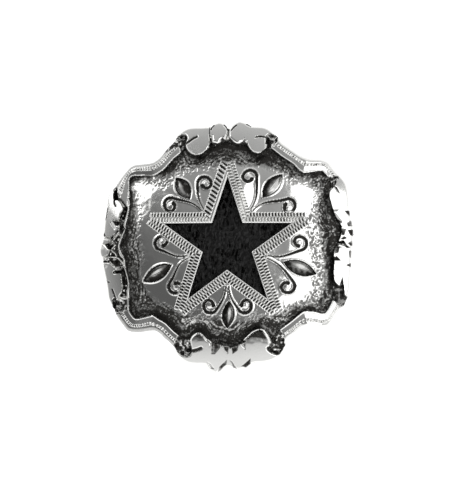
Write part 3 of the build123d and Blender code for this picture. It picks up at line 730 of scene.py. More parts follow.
def engrave_band(x, y, rise, dark):
    """The engraved band round the star: a smooth bevel at its edge, then two rows of slanted cuts.

    A cut's depth is a cosine hump along the band, repeated every pitch and shifted with the distance out.
    Along the upper arm's left edge the cuts are longer, and along four other edges less or more of the cuts'
    dark shows. Also gives the distance out of the star, and past its tips."""
    out, along = star_places(x, y)
    angle = np.arctan2(y - STAR_UP, x) - math.pi / 2
    long_cuts = (angle > 0) & (angle < TENTH)
    lean = np.where(long_cuts, LONG_CUT_LEAN, CUT_LEAN)
    pitch = np.where(long_cuts, LONG_CUT_PITCH, CUT_PITCH)
    shown = 1 - smooth(EDGE_LENGTH + 1.8, EDGE_LENGTH + 2.6, along)
    band = window(out, 0.2, 0.35, 1.95, 2.15) * shown
    rise = rise - BEVEL_DEPTH * (1 - smooth(0.0, BEVEL_WIDTH, out))
    dark = dark * (1 - 0.8 * band)

    upper_right = (angle < 0) & (angle > -TENTH)
    lower_left = (angle < -6 * TENTH) & (angle > -7 * TENTH)
    side_arms = (np.abs(angle) > TENTH) & (np.abs(angle) < 2 * TENTH)
    faint = 0.2 * upper_right - 0.15 * lower_left
    sway = 0.12 * lumps(x, y, 1.6, SEEDS["cut sway"])
    wear = 0.15 * lumps(x, y, 0.9, SEEDS["cut wear"])
    for low, high, shift, narrow, inner in cut_rows:
        low = np.where(long_cuts, low + 0.5 * inner, low)
        high = np.where(long_cuts, high + 0.15, high)
        row = window(out, low - 0.04, low + 0.12, high - 0.1, high + 0.06) * shown
        turned = (along + lean * out) / pitch + np.where(long_cuts, 0, shift) + sway
        hump = 0.5 - 0.5 * np.cos(2 * math.pi * turned)
        narrow = np.where(long_cuts, 0.45 + 0.1 * inner, narrow + faint + 0.17 * side_arms * inner)
        rise = rise - (CUT_DEPTH * hump - 0.1) * row
        dark = np.maximum(dark, smooth(narrow, narrow + 0.25, hump + wear) * row)
    between = bell(out, 1.03, 0.07) * shown * ~long_cuts
    rise = rise - 0.08 * between
    dark = np.maximum(dark, 0.7 * between)
    return rise, dark, out, along - EDGE_LENGTH


def strap_profile(across, width, along, from_inner, x, y):
    """Height and oxide of a strap. Inwards from the outline a bevel rises to a beaded line, then come a flat
    that stays level while the casting's ball falls away under it, a thin lip and the drop to the trough.

    A bead is one turn of a cosine along the outline."""
    beads = window(across, 0.32, 0.37, 0.5, 0.55)
    bead = np.cos(2 * math.pi * (along / STRAP_BEAD + 0.8 * across))
    bead = bead + 0.6 * lumps(x, y, 0.35, SEEDS["beads"])
    lip = window(across, 0.86, 0.9, 0.97, 1.0)
    slope = 0.24 * (1 - smooth(16.0, 18.0, x))
    rise = STRAP_FOOT + BEVEL_RISE * shoulder(across / 0.32) + slope * np.minimum(width - width * across, 2.2)
    rise = rise + BEAD_RISE * beads * bead + STRAP_LIP * lip - 0.6 * (1 - smooth(0.0, 0.12, from_inner))
    dark = beads * smooth(0.0, 0.9, -bead)
    dark = np.maximum(dark, 0.5 * bell(across, 0.84, 0.03))
    dark = np.maximum(dark, 0.8 * (1 - smooth(0.0, 0.1, from_inner)))
    return rise, dark


def lay_straps(ticks, x, y, rise, dark, places, grain):
    """The four straps, each blended in over its own area. What shows of a strap's oxide is its own share of
    the profile's, and each strap's bevel and flat are darkened by its own amount of painted shade."""
    from_outline, along_outline, from_inner = places
    depth = np.maximum(-from_outline, 0)
    width = np.maximum(depth + np.maximum(from_inner, 0), 0.2)
    across = depth / width
    strap_rise, strap_dark = strap_profile(across, width, along_outline, from_inner, x, y)
    bevel = 1 - smooth(0.24, 0.32, across)
    flat = window(across, 0.52, 0.6, 0.8, 0.86)
    for bevel_painted_shade, bead_stain, flat_painted_shade, area in straps:
        from_area = signed_distance(ticks, curve_through(area, 3), 1.0)
        mask = smooth(-0.3, 0.35, -from_area + 0.3 * grain) * smooth(-0.02, 0.05, from_inner)
        rise = rise + (strap_rise - rise) * mask
        # Painted shade: each strap's bevel and flat are darkened by a set amount, on top of the oxide between
        # its beads.
        stain = np.maximum(strap_dark * np.where(across < 0.7, bead_stain, 1.0), bevel_painted_shade * bevel)
        stain = np.maximum(stain, flat_painted_shade * flat)
        dark = dark + (stain - dark) * mask
    return rise, dark


def raise_scrolls(ticks, x, y, rise, dark, from_inner):
    """The scrolls: each lobe rises from its own outline in a rounded shoulder, and a bulb's upper half
    sinks by the square of the way up from its middle and is darkened with painted shade. Thin ridges stand
    beside them and round bulbs, and their section is the root of an S-shaped fall."""
    for rounding, lobe in scrolls:
        inside = -signed_distance(ticks, curve_through(lobe, 3), 1.5)
        top = LOBE_FOOT + (SCROLL_RISE - LOBE_FOOT) * shoulder(inside / rounding)
        rise = np.where(inside > 0, np.maximum(rise, top), rise)
        dark = dark * (1 - smooth(0.02, 0.14, inside))
    waves = 0.3 * lumps(x, y, 0.7, SEEDS["bulb edge"])
    for middle_x, middle_y, radius, height, stain in bulbs:
        up = np.clip(y - middle_y + waves, 0, 1.3 * radius) / radius
        near = 1 - smooth(1.1, 1.4, np.hypot(x - middle_x, y - middle_y) / radius)
        rise = rise - height * up ** 2 * near
        # Painted shade: the upper half of each bulb is darkened like a dome turned away from the light.
        dark = np.maximum(dark, stain * near * smooth(0.1, 0.5, up) * smooth(0.25, 0.5, from_inner))
    for breadth, foot, line in ridges:
        gap = line_distance(ticks, curve_through(line, 3, closed=False), 1.0)[0]
        ridge = np.sqrt(1 - smooth(0.1, 1.0, gap / (breadth * 0.85)))
        rise = np.where(gap < breadth, np.maximum(rise, foot + RIDGE_RISE * ridge), rise)
        dark = dark * (1 - smooth(0.05, 0.4, ridge))
    return rise, dark


def cut_scrolls(ticks, rise, dark, grain):
    """Chips and cuts: a chip's floor slopes down from its edge to a third of a millimetre, and a cut is a
    groove with an S-shaped wall. Oxide stays in both."""
    for stain, chip in chips:
        inside = -signed_distance(ticks, np.array(chip + chip[:1]), 1.0)
        rise = rise - 0.8 * np.clip(inside, 0, 0.4)
        dark = np.maximum(dark, stain * smooth(-0.08, 0.05, inside) * (1 + 0.35 * grain))
    for breadth, line in cuts:
        gap = line_distance(ticks, curve_through(line, 4, closed=False), 0.6)[0]
        groove = 1 - smooth(0.2, 0.6, gap / breadth)
        rise = rise - 0.3 * groove
        dark = np.maximum(dark, 0.9 * groove)
    return rise, dark


def border_relief(ticks, x, y, places, grain):
    """The raised border: four straps and four groups of scrolls over a dark, pitted ground."""
    rise = GROUND_RISE + 0.24 * grain
    dark = 0.93 - 0.75 * smooth(0.0, 0.5, grain)
    rise, dark = lay_straps(ticks, x, y, rise, dark, places, grain)
    rise, dark = raise_scrolls(ticks, x, y, rise, dark, places[2])
    return cut_scrolls(ticks, rise, dark, grain)


def field_relief(x, y, from_field, from_inner, along_outline, grain):
    """The trough and the polished field: an S-shaped slope up to the field's stippled edge, oxide in the
    trough that is darkest at the border's foot, patches of painted shade and painted light over the trough,
    and shallow waves from buffing.

    The oxide's bare flecks are grain drawn out along the outline, and its streaks are longer lumps drawn
    out the same way. A dent tilts the field inside a bell."""
    fine = cast_grain(x, y, FINE_GRAIN, SEEDS["fine grain"])
    patches = lumps(x, y, PATCH, SEEDS["patches"])
    bent = 1.9 * from_inner + 0.9 * patches + 0.3 * grain
    flecks = 0.55 * fine + 0.6 * cast_grain(bent, along_outline, 0.3, SEEDS["flecks"])
    streaks = lumps(3.2 * from_inner + 0.6 * patches, along_outline, 0.9, SEEDS["streaks"])

    risen = 1 - smooth(-0.2, 1.5, from_field + 0.45 * patches)
    worn = from_field + 0.8 * patches
    for row in stipples:
        worn = worn + row[4] * patch(x, y, row)
    rough = smooth(-1.9, -0.2, worn)
    rise = FIELD_RISE * risen + (0.04 * grain + 0.03 * fine + 0.03 * flecks) * rough
    rise = rise + 0.012 * lumps(x, y, 2.6, SEEDS["waves"]) + 0.005 * lumps(x, y, 0.5, SEEDS["ripples"])
    for row in dents:
        rise = rise - patch(x, y, row) * (row[4] * (x - row[0]) + row[5] * (y - row[1]))

    foot = smooth(-1.5, -0.2, from_inner)
    ground = 0.93 - (0.2 - 0.15 * foot) * smooth(-0.2, 0.6, streaks + 0.5 * flecks)
    ground = ground - 0.5 * (1 - 0.6 * foot) * smooth(0.11, 0.38, flecks + 0.25 * patches + 0.2 * streaks)
    edge = from_field + 0.45 * patches + 0.5 * grain
    # Painted shade: each patch darkens the trough's ground and pushes the dark further onto the field's edge.
    # A negative patch paints it lighter.
    for row in painted_trough_shade:
        more = row[4] * patch(x, y, row)
        ground = ground + (1 - ground) * more
        edge = edge + 1.2 * more
    stipple = smooth(-0.1, 0.5, -fine - 0.3 * grain + 0.35 * smooth(-1.6, 0.0, worn))
    dark = np.maximum(smooth(-1.1, 0.1, edge) * ground, 0.75 * rough * stipple)
    return rise, dark


def relief(ticks):
    """Height over the trough's ball and oxide of the casting's face at each grid point, with the
    distances that part it into its pieces. The outline's edge is rounded over at the end."""
    x, y = np.meshgrid(ticks, ticks)
    loop = curve_through(outline, 3)
    from_outline, along_outline = line_distance(ticks, loop, 6.0)
    from_outline = np.where(enclosed(ticks, loop), -from_outline, from_outline)
    from_inner = signed_distance(ticks, curve_through(inner_edge, 3), 3.0)
    from_field = signed_distance(ticks, curve_through(field_edge, 6), 3.0)
    grain = cast_grain(x, y, GRAIN, SEEDS["grain"])

    rise, dark = field_relief(x, y, from_field, from_inner, along_outline, grain)
    rise, dark = carve_motifs(ticks, x, y, rise, dark)
    rise, dark, from_star, past_tip = engrave_band(x, y, rise, dark)

    places = (from_outline, along_outline, from_inner)
    border_rise, border_dark = border_relief(ticks, x, y, places, grain)
    over = smooth(-0.02, 0.1, from_inner)
    rise = rise + (border_rise - rise) * over
    dark = dark + (border_dark - dark) * over
    rise = rise - OUTLINE_DROP * (1 - shoulder(-from_outline / OUTLINE_ROUNDING))
    return {
        "rise": rise, "dark": np.clip(dark, 0, 1),
        "outline": from_outline, "inner": from_inner, "star": from_star, "tip": past_tip,
    }


def band_area(face):
    """Negative in the engraved band round the star, up to just past its tips."""
    return np.maximum(np.maximum(-face["star"], face["star"] - BAND), face["tip"] - TIP_BAND)


def face_area(face):
    """Negative between the engraved band and the seam in the trough."""
    return np.maximum(face["inner"] + SEAM, -np.maximum(face["star"] - BAND, face["tip"] - TIP_BAND))


def border_area(face):
    """Negative between the seam in the trough and the outline."""
    return np.maximum(-face["inner"] - SEAM, face["outline"])


def sample(ticks, values, x, y):
    """A grid's values between its points, blended straight in both directions."""
    u = (x - ticks[0]) / (ticks[1] - ticks[0])
    v = (y - ticks[0]) / (ticks[1] - ticks[0])
    column = np.clip(u.astype(int), 0, len(ticks) - 2)
    row = np.clip(v.astype(int), 0, len(ticks) - 2)
    u, v = u - column, v - row
    lower = values[row, column] * (1 - u) + values[row, column + 1] * u
    upper = values[row + 1, column] * (1 - u) + values[row + 1, column + 1] * u
    return lower * (1 - v) + upper * v


def cut_sheet(ticks, gap, corners=()):
    """Places and faces of the grid where gap is negative. Grid points within half a cell of the edge move
    onto it, down the slope of gap, and the nearest one to each corner moves to the corner."""
    cell = ticks[1] - ticks[0]
    x, y = np.meshgrid(ticks, ticks)
    slope_y, slope_x = np.gradient(gap, cell)
    steep = np.maximum(slope_x ** 2 + slope_y ** 2, 0.25)
    near = np.abs(gap) < 0.5 * cell
    x = x - np.where(near, gap * slope_x / steep, 0)
    y = y - np.where(near, gap * slope_y / steep, 0)
    kept = near | (gap < 0)
    for corner in corners:
        apart = np.where(kept, np.hypot(x - corner[0], y - corner[1]), np.inf)
        row, column = np.unravel_index(np.argmin(apart), apart.shape)
        x[row, column], y[row, column] = corner
    number = np.arange(x.size).reshape(x.shape)
    ring = np.stack((number[:-1, :-1], number[:-1, 1:], number[1:, 1:], number[1:, :-1]), axis=-1)
    ring = ring.reshape(-1, 4)
    held = kept.ravel()[ring]
    quads = ring[held.all(axis=1)]
    threes = ring[held.sum(axis=1) == 3]
    missing = np.argmin(kept.ravel()[threes], axis=1)
    order = (missing[:, None] + np.array((1, 2, 3))) % 4
    triangles = np.take_along_axis(threes, order, axis=1)
    used = np.unique(np.concatenate((quads.ravel(), triangles.ravel())))
    renumber = np.zeros(x.size, int)
    renumber[used] = np.arange(len(used))
    return x.ravel()[used], y.ravel()[used], renumber[quads], renumber[triangles]


def rim_edges(quads, triangles, count):
    """The directed edges that only one face has, with that face on their left."""
    sides = [quads[:, [i, (i + 1) % 4]] for i in range(4)]
    sides += [triangles[:, [i, (i + 1) % 3]] for i in range(3)]
    sides = np.concatenate(sides)
    forward = sides[:, 0].astype(np.int64) * count + sides[:, 1]
    backward = sides[:, 1].astype(np.int64) * count + sides[:, 0]
    return sides[~np.isin(forward, backward)]


def lies_within(x, y, starts, ends):
    """Which places lie in the closed lines made of these edges, by counting crossings to the right."""
    inside = np.zeros(len(x), bool)
    for part in np.array_split(np.arange(len(x)), max(1, len(x) // 500)):
        px, py = x[part, None], y[part, None]
        straddles = (starts[None, :, 1] > py) != (ends[None, :, 1] > py)
        rise = np.where(ends[:, 1] == starts[:, 1], 1.0, ends[:, 1] - starts[:, 1])
        crossing = starts[:, 0] + (py - starts[:, 1]) * (ends[:, 0] - starts[:, 0]) / rise
        inside[part] = (straddles & (px < crossing)).sum(axis=1) % 2 == 1
    return inside


def slab(ticks, gap, top, bottom, spacing, corners=()):
    """A closed body over the area where gap is negative: top(x, y) heights on the fine grid, upright walls,
    and bottom(x, y) heights on triangles between the walls and a coarse grid.

    Gives places, quads, triangles and, for each place, 0 on top, 1 on the walls' foot and 2 below."""
    x, y, quads, triangles = cut_sheet(ticks, gap, corners)
    count = len(x)
    rim = rim_edges(quads, triangles, count)
    rim_places = np.unique(rim)
    below = np.full(count, -1)
    below[rim_places] = count + np.arange(len(rim_places))
    wall = np.stack((rim[:, 1], rim[:, 0], below[rim[:, 0]], below[rim[:, 1]]), axis=1)

    coarse = np.arange(ticks[0], ticks[-1], spacing)
    cx, cy = [part.ravel() for part in np.meshgrid(coarse, coarse)]
    clear = sample(ticks, gap, cx, cy) < -0.45 * spacing
    cx, cy = cx[clear], cy[clear]
    fx, fy = np.concatenate((x[rim_places], cx)), np.concatenate((y[rim_places], cy))
    spots = [Vector(place) for place in zip(fx.tolist(), fy.tolist())]
    edges = (below[rim] - count).tolist()
    result = delaunay_2d_cdt(spots, edges, [], 0, 1e-7)
    floor = np.array([face for face in result[2] if len(face) == 3])
    source = np.array([origin[0] if origin else -1 for origin in result[3]])
    floor = source[floor]
    floor = floor[(floor >= 0).all(axis=1)]
    middle_x, middle_y = fx[floor].mean(axis=1), fy[floor].mean(axis=1)
    starts = np.stack((x[rim[:, 0]], y[rim[:, 0]]), axis=1)
    ends = np.stack((x[rim[:, 1]], y[rim[:, 1]]), axis=1)
    floor = floor[lies_within(middle_x, middle_y, starts, ends)]
    a, b, c = floor.T
    turn = (fx[b] - fx[a]) * (fy[c] - fy[a]) - (fy[b] - fy[a]) * (fx[c] - fx[a])
    floor = np.where(turn[:, None] > 0, floor[:, ::-1], floor) + count

    places = np.concatenate((
        np.stack((x, y, top(x, y)), axis=1),
        np.stack((fx, fy, bottom(fx, fy)), axis=1),
    ))
    level = np.concatenate((np.zeros(count), np.ones(len(rim_places)), np.full(len(cx), 2.0)))
    return places, np.concatenate((quads, wall)), np.concatenate((triangles, floor)), level


def put(name, places, faces, material, attributes=None, sharp=40.0):
    """A mesh object at the origin from places in millimetres, smooth but for edges sharper than the
    angle in degrees, with one value a vertex for each named attribute."""
    mesh = bpy.data.meshes.new(name)
    mesh.from_pydata((np.asarray(places) * MM).tolist(), [], faces)
    mesh.polygons.foreach_set("use_smooth", np.ones(len(mesh.polygons), bool))
    mesh.set_sharp_from_angle(angle=math.radians(sharp))
    for key, values in (attributes or {}).items():
        attribute = mesh.attributes.new(key, "FLOAT", "POINT")
        attribute.data.foreach_set("value", np.asarray(values, np.float32))
    mesh.materials.append(material)
    mesh.validate()
    mesh.update()
    piece = bpy.data.objects.new(name, mesh)
    bpy.context.scene.collection.objects.link(piece)
    return piece


def lists(*groups):
    """Face index arrays as one list of lists."""
    return [row for group in groups for row in group.tolist()]


def node(tree, kind, inputs=None, **settings):
    """Adds a node with its settings, and fills its inputs with values or with other nodes' outputs."""
    new = tree.nodes.new(kind)
    for key, value in settings.items():
        setattr(new, key, value)
    for key, value in (inputs or {}).items():
        if isinstance(value, bpy.types.NodeSocket):
            tree.links.new(value, new.inputs[key])
        else:
            new.inputs[key].default_value = value
    return new


def noise(tree, places, per_mm, detail):
    """Smooth random values from 0 to 1, about that many lumps to the millimetre."""
    inputs = {"Vector": places, "Scale": per_mm / MM, "Detail": detail}
    return node(tree, "ShaderNodeTexNoise", inputs).outputs["Fac"]


def spread(tree, value, low, high, start=0.0, end=1.0, kind="LINEAR"):
    """A value laid out from start to end as it goes from low to high, and held past them."""
    inputs = {"Value": value, "From Min": low, "From Max": high, "To Min": start, "To Max": end}
    return node(tree, "ShaderNodeMapRange", inputs, interpolation_type=kind).outputs[0]


def maths(tree, operation, *values):
    """The result of one operation on values or on other nodes' outputs."""
    return node(tree, "ShaderNodeMath", dict(enumerate(values)), operation=operation).outputs[0]


def tones(tree, value, low, low_colour, high, high_colour):
    """A colour that goes from one hex colour to another as the value goes from low to high."""
    ramp = node(tree, "ShaderNodeValToRGB", {"Fac": value})
    for stop, place, colour in zip(ramp.color_ramp.elements, (low, high), (low_colour, high_colour)):
        stop.position = place
        stop.color = linear(colour)
    return ramp.outputs["Color"]


def bumps(tree, height, strength, depth):
    """Normals of a fine relief, up to that many millimetres deep."""
    inputs = {"Height": height, "Strength": strength, "Distance": depth * MM}
    return node(tree, "ShaderNodeBump", inputs).outputs["Normal"]


def start_material(name):
    """A new material and its empty node tree."""
    material = bpy.data.materials.new(name)
    material.use_nodes = True
    material.node_tree.nodes.clear()
    return material, material.node_tree


def cover(tree, inputs):
    """Ends a material's node tree with a principled shader that has these inputs."""
    shader = node(tree, "ShaderNodeBsdfPrincipled", inputs)
    node(tree, "ShaderNodeOutputMaterial", {"Surface": shader.outputs[0]})


def antiqued_silver_plate():
    """Zinc casting with antiqued silver plate: polished heights mirror the room, a black oxide stays
    matt in the recesses, and fine polishing marks break the mirror up a little. The amount that mixes in the
    oxide also carries painted shade and painted highlights from the casting's face."""
    material, tree = start_material("antiqued_silver_plated_zinc_casting")
    places = node(tree, "ShaderNodeTexCoord").outputs["Object"]
    # This attribute holds the oxide together with painted shade and painted highlights.
    stain = node(tree, "ShaderNodeAttribute", attribute_name="oxide_and_painted_shade").outputs["Fac"]
    specks = maths(tree, "SUBTRACT", noise(tree, places, 5.2, 3.0), 0.5)
    oxide = spread(tree, maths(tree, "MULTIPLY_ADD", specks, 0.35, stain), 0.12, 0.92)
    plate_and_oxide = {0: oxide, 6: linear("#d8d8d6"), 7: linear("#2e2d2b")}
    colour = node(tree, "ShaderNodeMix", plate_and_oxide, data_type="RGBA").outputs[2]
    polish = spread(tree, noise(tree, places, 0.9, 4.0), 0.3, 0.7, 0.06, 0.13)
    rough = node(tree, "ShaderNodeMix", {0: oxide, 2: polish, 3: 0.5}, data_type="FLOAT").outputs[0]
    grit = bumps(tree, noise(tree, places, 2.6, 5.0), 0.15, 0.02)
    cover(tree, {"Base Color": colour, "Metallic": 1.0, "Roughness": rough, "Normal": grit})
    return material


def black_leather():
    """Chrome-tanned, black-dyed cowhide: a nearly matt black with a soft shine on its small wrinkles."""
    material, tree = start_material("black_dyed_cowhide")
    places = node(tree, "ShaderNodeTexCoord").outputs["Object"]
    pores = node(tree, "ShaderNodeTexVoronoi", {"Vector": places, "Scale": 3.6 / MM}).outputs["Distance"]
    dye = tones(tree, noise(tree, places, 0.5, 3.0), 0.3, "#020202", 0.75, "#050404")
    cover(tree, {
        "Base Color": dye, "Roughness": 0.38, "Specular IOR Level": 0.22,
        "Normal": bumps(tree, pores, 0.5, 0.04),
    })
    return material


def nickel_plated_strip():
    """Nickel-plated steel strip: a soft shine with fine marks along the way it was rolled."""
    material, tree = start_material("nickel_plated_strip_steel")
    places = node(tree, "ShaderNodeTexCoord").outputs["Object"]
    drawn_out = {"Vector": places, "Scale": (0.02, 1.0, 0.02)}
    marks = noise(tree, node(tree, "ShaderNodeMapping", drawn_out).outputs["Vector"], 3.0, 4.0)
    cover(tree, {
        "Base Color": tones(tree, marks, 0.25, "#b3afa7", 0.75, "#cdc9c0"), "Metallic": 1.0,
        "Roughness": spread(tree, marks, 0.3, 0.7, 0.22, 0.38), "Normal": bumps(tree, marks, 0.25, 0.02),
    })
    return material


def light_table():
    """Opal acrylic lit from below: a matt, even, pale grey."""
    material, tree = start_material("opal_acrylic_light_table")
    cover(tree, {
        "Base Color": linear("#d8d8d8"), "Roughness": 0.9, "Emission Color": (1, 1, 1, 1),
        "Emission Strength": 0.75,
    })
    return material


def casting_piece(name, cell, reach, area, corners, back_ball, material):
    """One closed piece of the casting, over the places where area(face) is negative."""
    ticks = np.arange(-reach, reach + cell, cell)
    face = relief(ticks)

    def top(x, y):
        return ball_height(x, y, TROUGH_BALL + sample(ticks, face["rise"], x, y))

    def back(x, y):
        return ball_height(x, y, back_ball)

    places, quads, triangles, level = slab(ticks, area(face), top, back, BACK_SPACING, corners)
    x, y = places[:, 0], places[:, 1]
    back_stain = 0.28 + 0.1 * cast_grain(x, y, 1.3, SEEDS["back grain"])
    stain = np.where(level == 0, sample(ticks, face["dark"], x, y), back_stain)
    return put(name, places, lists(quads, triangles), material, {"oxide_and_painted_shade": stain})


def leather_disc(material):
    """The leather disc: a slab between two balls with short upright wrinkles on its grain side."""
    ticks = np.arange(-19.0, 19.0, 0.13)
    x, y = np.meshgrid(ticks, ticks)
    gap = np.hypot(x, y) - LEATHER_RADIUS
    for side in (1, -1):
        gap = np.maximum(gap, POST_HOLE - np.hypot(x - side * POST_SPREAD, y))

    def front(x, y):
        sway = 0.5 * lumps(x, y, 2.0, SEEDS["leather sway"])
        folds = lumps(x + sway, 0.34 * y + 0.3 * sway, 0.36, SEEDS["folds"])
        small = lumps(x + sway, 0.5 * y, 0.22, SEEDS["small folds"])
        wrinkles = 1 - np.abs(folds) * 1.6 + 0.3 * small
        edge = 1 - smooth(0.0, 0.5, LEATHER_RADIUS - np.hypot(x, y))
        return ball_height(x, y, LEATHER_FRONT_BALL - 0.3 + WRINKLE_DEPTH * wrinkles - 0.3 * edge)

    def back(x, y):
        return ball_height(x, y, LEATHER_BACK_BALL)

    places, quads, triangles = slab(ticks, gap, front, back, LEATHER_SPACING)[:3]
    return put("leather_disc", places, lists(quads, triangles), material)


def loop_line(middle_ball):
    """The strap's middle line as x and z: from one foot's end inwards on a ball, down a quarter turn into
    a wall, round another onto the floor, and the same mirrored. Also the heights of the wall's two ends."""
    half = STRAP_THICKNESS / 2
    wall_x = LOOP_HALF_WIDTH + half
    bend_x = wall_x + LOOP_SHOULDER
    foot_x = np.linspace(FOOT_END, bend_x, 28, endpoint=False)
    foot = np.stack((foot_x, ball_height(foot_x, 0, middle_ball)), axis=1)
    turn = np.linspace(0, math.pi / 2, 14)[:, None]
    upper = np.array((bend_x, ball_height(bend_x, 0, middle_ball) - LOOP_SHOULDER))
    bend = upper + LOOP_SHOULDER * np.concatenate((-np.sin(turn), np.cos(turn)), axis=1)
    corner_radius = LOOP_BEND + half
    lower = np.array((wall_x - corner_radius, half + corner_radius))
    corner = lower + corner_radius * np.concatenate((np.cos(turn), -np.sin(turn)), axis=1)
    wall_z = np.linspace(upper[1], lower[1], 14)[1:-1]
    wall = np.stack((np.full_like(wall_z, wall_x), wall_z), axis=1)
    floor_x = np.linspace(lower[0], 0, 16)[1:]
    floor = np.stack((floor_x, np.full_like(floor_x, half)), axis=1)
    side = np.concatenate((foot, bend, wall, corner, floor))
    return np.concatenate((side, side[-2::-1] * (-1, 1))), lower[1], upper[1]


def strap_loop(material):
    """The strap: an oblong section with rounded corners, carried along the strap's middle line.

    Its feet have rounded corners too, where it narrows along a circle. They follow a ball, so each place
    there also drops with the square of its distance from the middle."""
    half = STRAP_THICKNESS / 2
    middle_ball = (FOOT_FRONT_BALL + FOOT_BACK_BALL) / 2
    line, wall_foot, wall_top = loop_line(middle_ball)
    step = np.gradient(line, axis=0)
    step = step / np.hypot(step[:, 0], step[:, 1])[:, None]
    normal = np.stack((step[:, 1], -step[:, 0]), axis=1)
    out = np.abs(line[:, 0])
    cut = np.clip(FOOT_CORNER - np.abs(out - FOOT_END), 0, FOOT_CORNER)
    cut = np.where(out > LOOP_HALF_WIDTH + half + 0.5, cut, 0)
    half_width = STRAP_WIDTH / 2 - FOOT_CORNER + np.sqrt(FOOT_CORNER ** 2 - cut ** 2)

    arc = np.linspace(0, math.pi / 2, 5)
    flat = np.linspace(1, -1, 13)[1:-1]
    arc_in = STRAP_ROUNDING * (np.cos(arc) - 1)
    arc_up = half + STRAP_ROUNDING * (np.sin(arc) - 1)
    across = np.concatenate((np.ones_like(arc), flat, -np.ones_like(arc)))
    inset = np.concatenate((arc_in, -STRAP_ROUNDING * flat, -arc_in[::-1]))
    up = np.concatenate((arc_up, np.full_like(flat, half), arc_up[::-1]))
    across, inset, up = [np.concatenate((top, -top))[None, :] for top in (across, inset, up)]

    y = across * half_width[:, None] + inset
    x = line[:, None, 0] + normal[:, None, 0] * up
    z = line[:, None, 1] + normal[:, None, 1] * up
    hang = smooth(wall_foot, wall_top, line[:, 1])[:, None]
    z = z - hang * y ** 2 / (2 * middle_ball)
    index = np.arange(y.size).reshape(y.shape)
    nxt = np.roll(index, -1, axis=1)
    quads = np.stack((index[:-1], index[1:], nxt[1:], nxt[:-1]), axis=-1).reshape(-1, 4)
    faces = lists(quads, index[:1], index[-1:, ::-1])
    return put("strap_loop", np.stack((x, y, z), axis=-1).reshape(-1, 3), faces, material, sharp=50.0)


def post(name, side, material):
    """A post: rings about its axis, each on a ball about the common centre, closed at both ends. The head
    carries the small dents of the peening hammer."""
    ring = np.array(post_rings)
    out, ball = ring[:, 0, None], ring[:, 1, None]
    turn = np.linspace(0, 2 * math.pi, POST_SIDES, endpoint=False)
    x = side * POST_SPREAD + out * np.cos(turn)
    y = out * np.sin(turn)
    peened = 0.06 * lumps(x, y, 0.8, SEEDS["peening"]) * (ball < PEENED_BALL)
    places = np.stack((x, y, ball_height(x, y, ball + peened)), axis=-1).reshape(-1, 3)
    ends = [(side * POST_SPREAD, 0, ball_height(side * POST_SPREAD, 0, ring[i, 1])) for i in (0, -1)]
    places = np.concatenate((places, ends))
    index = np.arange(len(ring) * POST_SIDES).reshape(-1, POST_SIDES)
    nxt = np.roll(index, -1, axis=1)
    quads = np.stack((index[:-1], nxt[:-1], nxt[1:], index[1:]), axis=-1).reshape(-1, 4)
    low, high = np.full(POST_SIDES, len(places) - 2), np.full(POST_SIDES, len(places) - 1)
    low_end = np.stack((nxt[0], index[0], low), axis=1)
    high_end = np.stack((index[-1], nxt[-1], high), axis=1)
    stain = np.full(len(places), 0.25)
    return put(name, places, lists(quads, low_end, high_end), material, {"oxide_and_painted_shade": stain})


def area_light(name, centre, size, turn, power):
    """A soft box over the slide, level, with its emission facing down. Lengths in metres."""
    light = bpy.data.lights.new(name, "AREA")
    light.shape = "RECTANGLE"
    light.size, light.size_y = size
    light.energy = power
    lamp = bpy.data.objects.new(name, light)
    lamp.location = centre
    lamp.rotation_euler = (0, 0, math.radians(turn))
    lamp.visible_camera = False
    bpy.context.scene.collection.objects.link(lamp)


def room():
    """The room that the plate mirrors: grey overhead, lighter to the upper right, and white lower down,
    with the change from 35 to 58 degrees off the zenith, and brighter still low down in front."""
    world = bpy.data.worlds.new("studio")
    bpy.context.scene.world = world
    world.use_nodes = True
    tree = world.node_tree
    tree.nodes.clear()
    way = node(tree, "ShaderNodeTexCoord").outputs["Generated"]
    parts = node(tree, "ShaderNodeSeparateXYZ", {0: way}).outputs

    def lean(direction):
        inputs = {0: way, 1: direction}
        return node(tree, "ShaderNodeVectorMath", inputs, operation="DOT_PRODUCT").outputs["Value"]

    overhead = maths(tree, "MAXIMUM", maths(tree, "ADD", lean((0.32, 0.3, 0.0)), 0.33), 0.14)
    around = maths(tree, "ADD", lean((0.1, 0.25, 0.0)), 0.9)
    low, high = math.cos(math.radians(58)), math.cos(math.radians(35))
    walls = spread(tree, parts["Z"], low, high, around, overhead, "SMOOTHSTEP")
    front = spread(tree, parts["Y"], -0.35, -0.6, 0.0, 0.9, "SMOOTHSTEP")
    total = maths(tree, "ADD", walls, front)
    sky = node(tree, "ShaderNodeBackground", {"Color": (1, 1, 1, 1), "Strength": total})
    node(tree, "ShaderNodeOutputWorld", {"Surface": sky.outputs[0]})


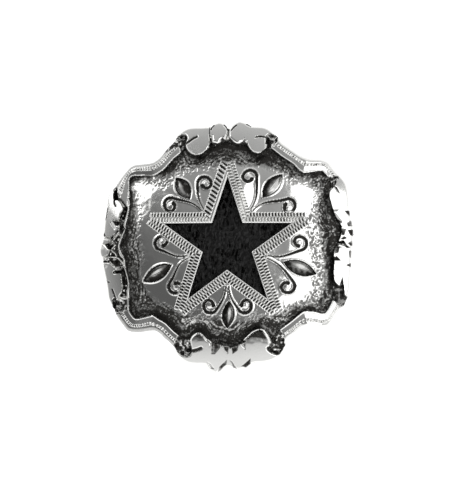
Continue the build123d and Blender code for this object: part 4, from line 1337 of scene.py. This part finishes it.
def studio():
    """A light table as the pale floor, soft boxes at the right and the upper left, and the room."""
    mesh = bpy.data.meshes.new("floor")
    corners = [(-3.0, -3.0, 0), (3.0, -3.0, 0), (3.0, 3.0, 0), (-3.0, 3.0, 0)]
    mesh.from_pydata(corners, [], [(0, 1, 2, 3)])
    mesh.materials.append(light_table())
    floor = bpy.data.objects.new("floor", mesh)
    bpy.context.scene.collection.objects.link(floor)
    room()
    area_light("right_soft_box", (0.415, -0.025, 0.6), (0.51, 0.59), -6, 1.7)
    area_light("left_soft_box", (-0.49, 0.395, 0.6), (0.42, 0.35), 44, 0.9)


def camera():
    """The photograph's view: nearly straight down, a little from the right and from below the star."""
    data = bpy.data.cameras.new("camera")
    eye = bpy.data.objects.new("camera", data)
    bpy.context.scene.collection.objects.link(eye)
    way = Vector((math.sin(math.radians(VIEW_RIGHT)), math.sin(math.radians(VIEW_UP)), 1)).normalized()
    right = Vector((0, 1, 0)).cross(way).normalized()
    turned = Matrix((right, way.cross(right), way)).transposed()
    eye.matrix_world = Matrix.Translation(Vector(VIEW_AIM) + way * VIEW_DISTANCE) @ turned.to_4x4()
    data.sensor_fit = "HORIZONTAL"
    data.sensor_width = 36.0
    data.lens = data.sensor_width * VIEW_DISTANCE / (PHOTO_WIDTH * PIXEL * MM)
    data.clip_start, data.clip_end = 0.01, 20.0
    bpy.context.scene.camera = eye


silver = antiqued_silver_plate()

# Each piece of the casting: its name, grid cell, how far its grid reaches, its area, places where it has a
# sharp corner, and the ball of its back. The three backs lie a few hundredths apart
pieces = [
    casting_piece("concho_star_band", 0.06, 15.3, band_area, star_corners(), HOLLOW_BALL - 0.02, silver),
    casting_piece("concho_face", 0.1, 20.5, face_area, (), HOLLOW_BALL, silver),
    casting_piece("concho_border", 0.08, 23.2, border_area, (), HOLLOW_BALL - 0.05, silver),
    post("right_post", 1, silver),
    post("left_post", -1, silver),
]
for piece in pieces:
    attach(piece, "root")
    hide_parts("concho")

leather = leather_disc(black_leather())
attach(leather, "root")
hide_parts("leather_backing")

loop = strap_loop(nickel_plated_strip())
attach(loop, "root")
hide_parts("scarf_loop")

studio()
camera()
bpy.context.scene.view_settings.view_transform = "Standard"
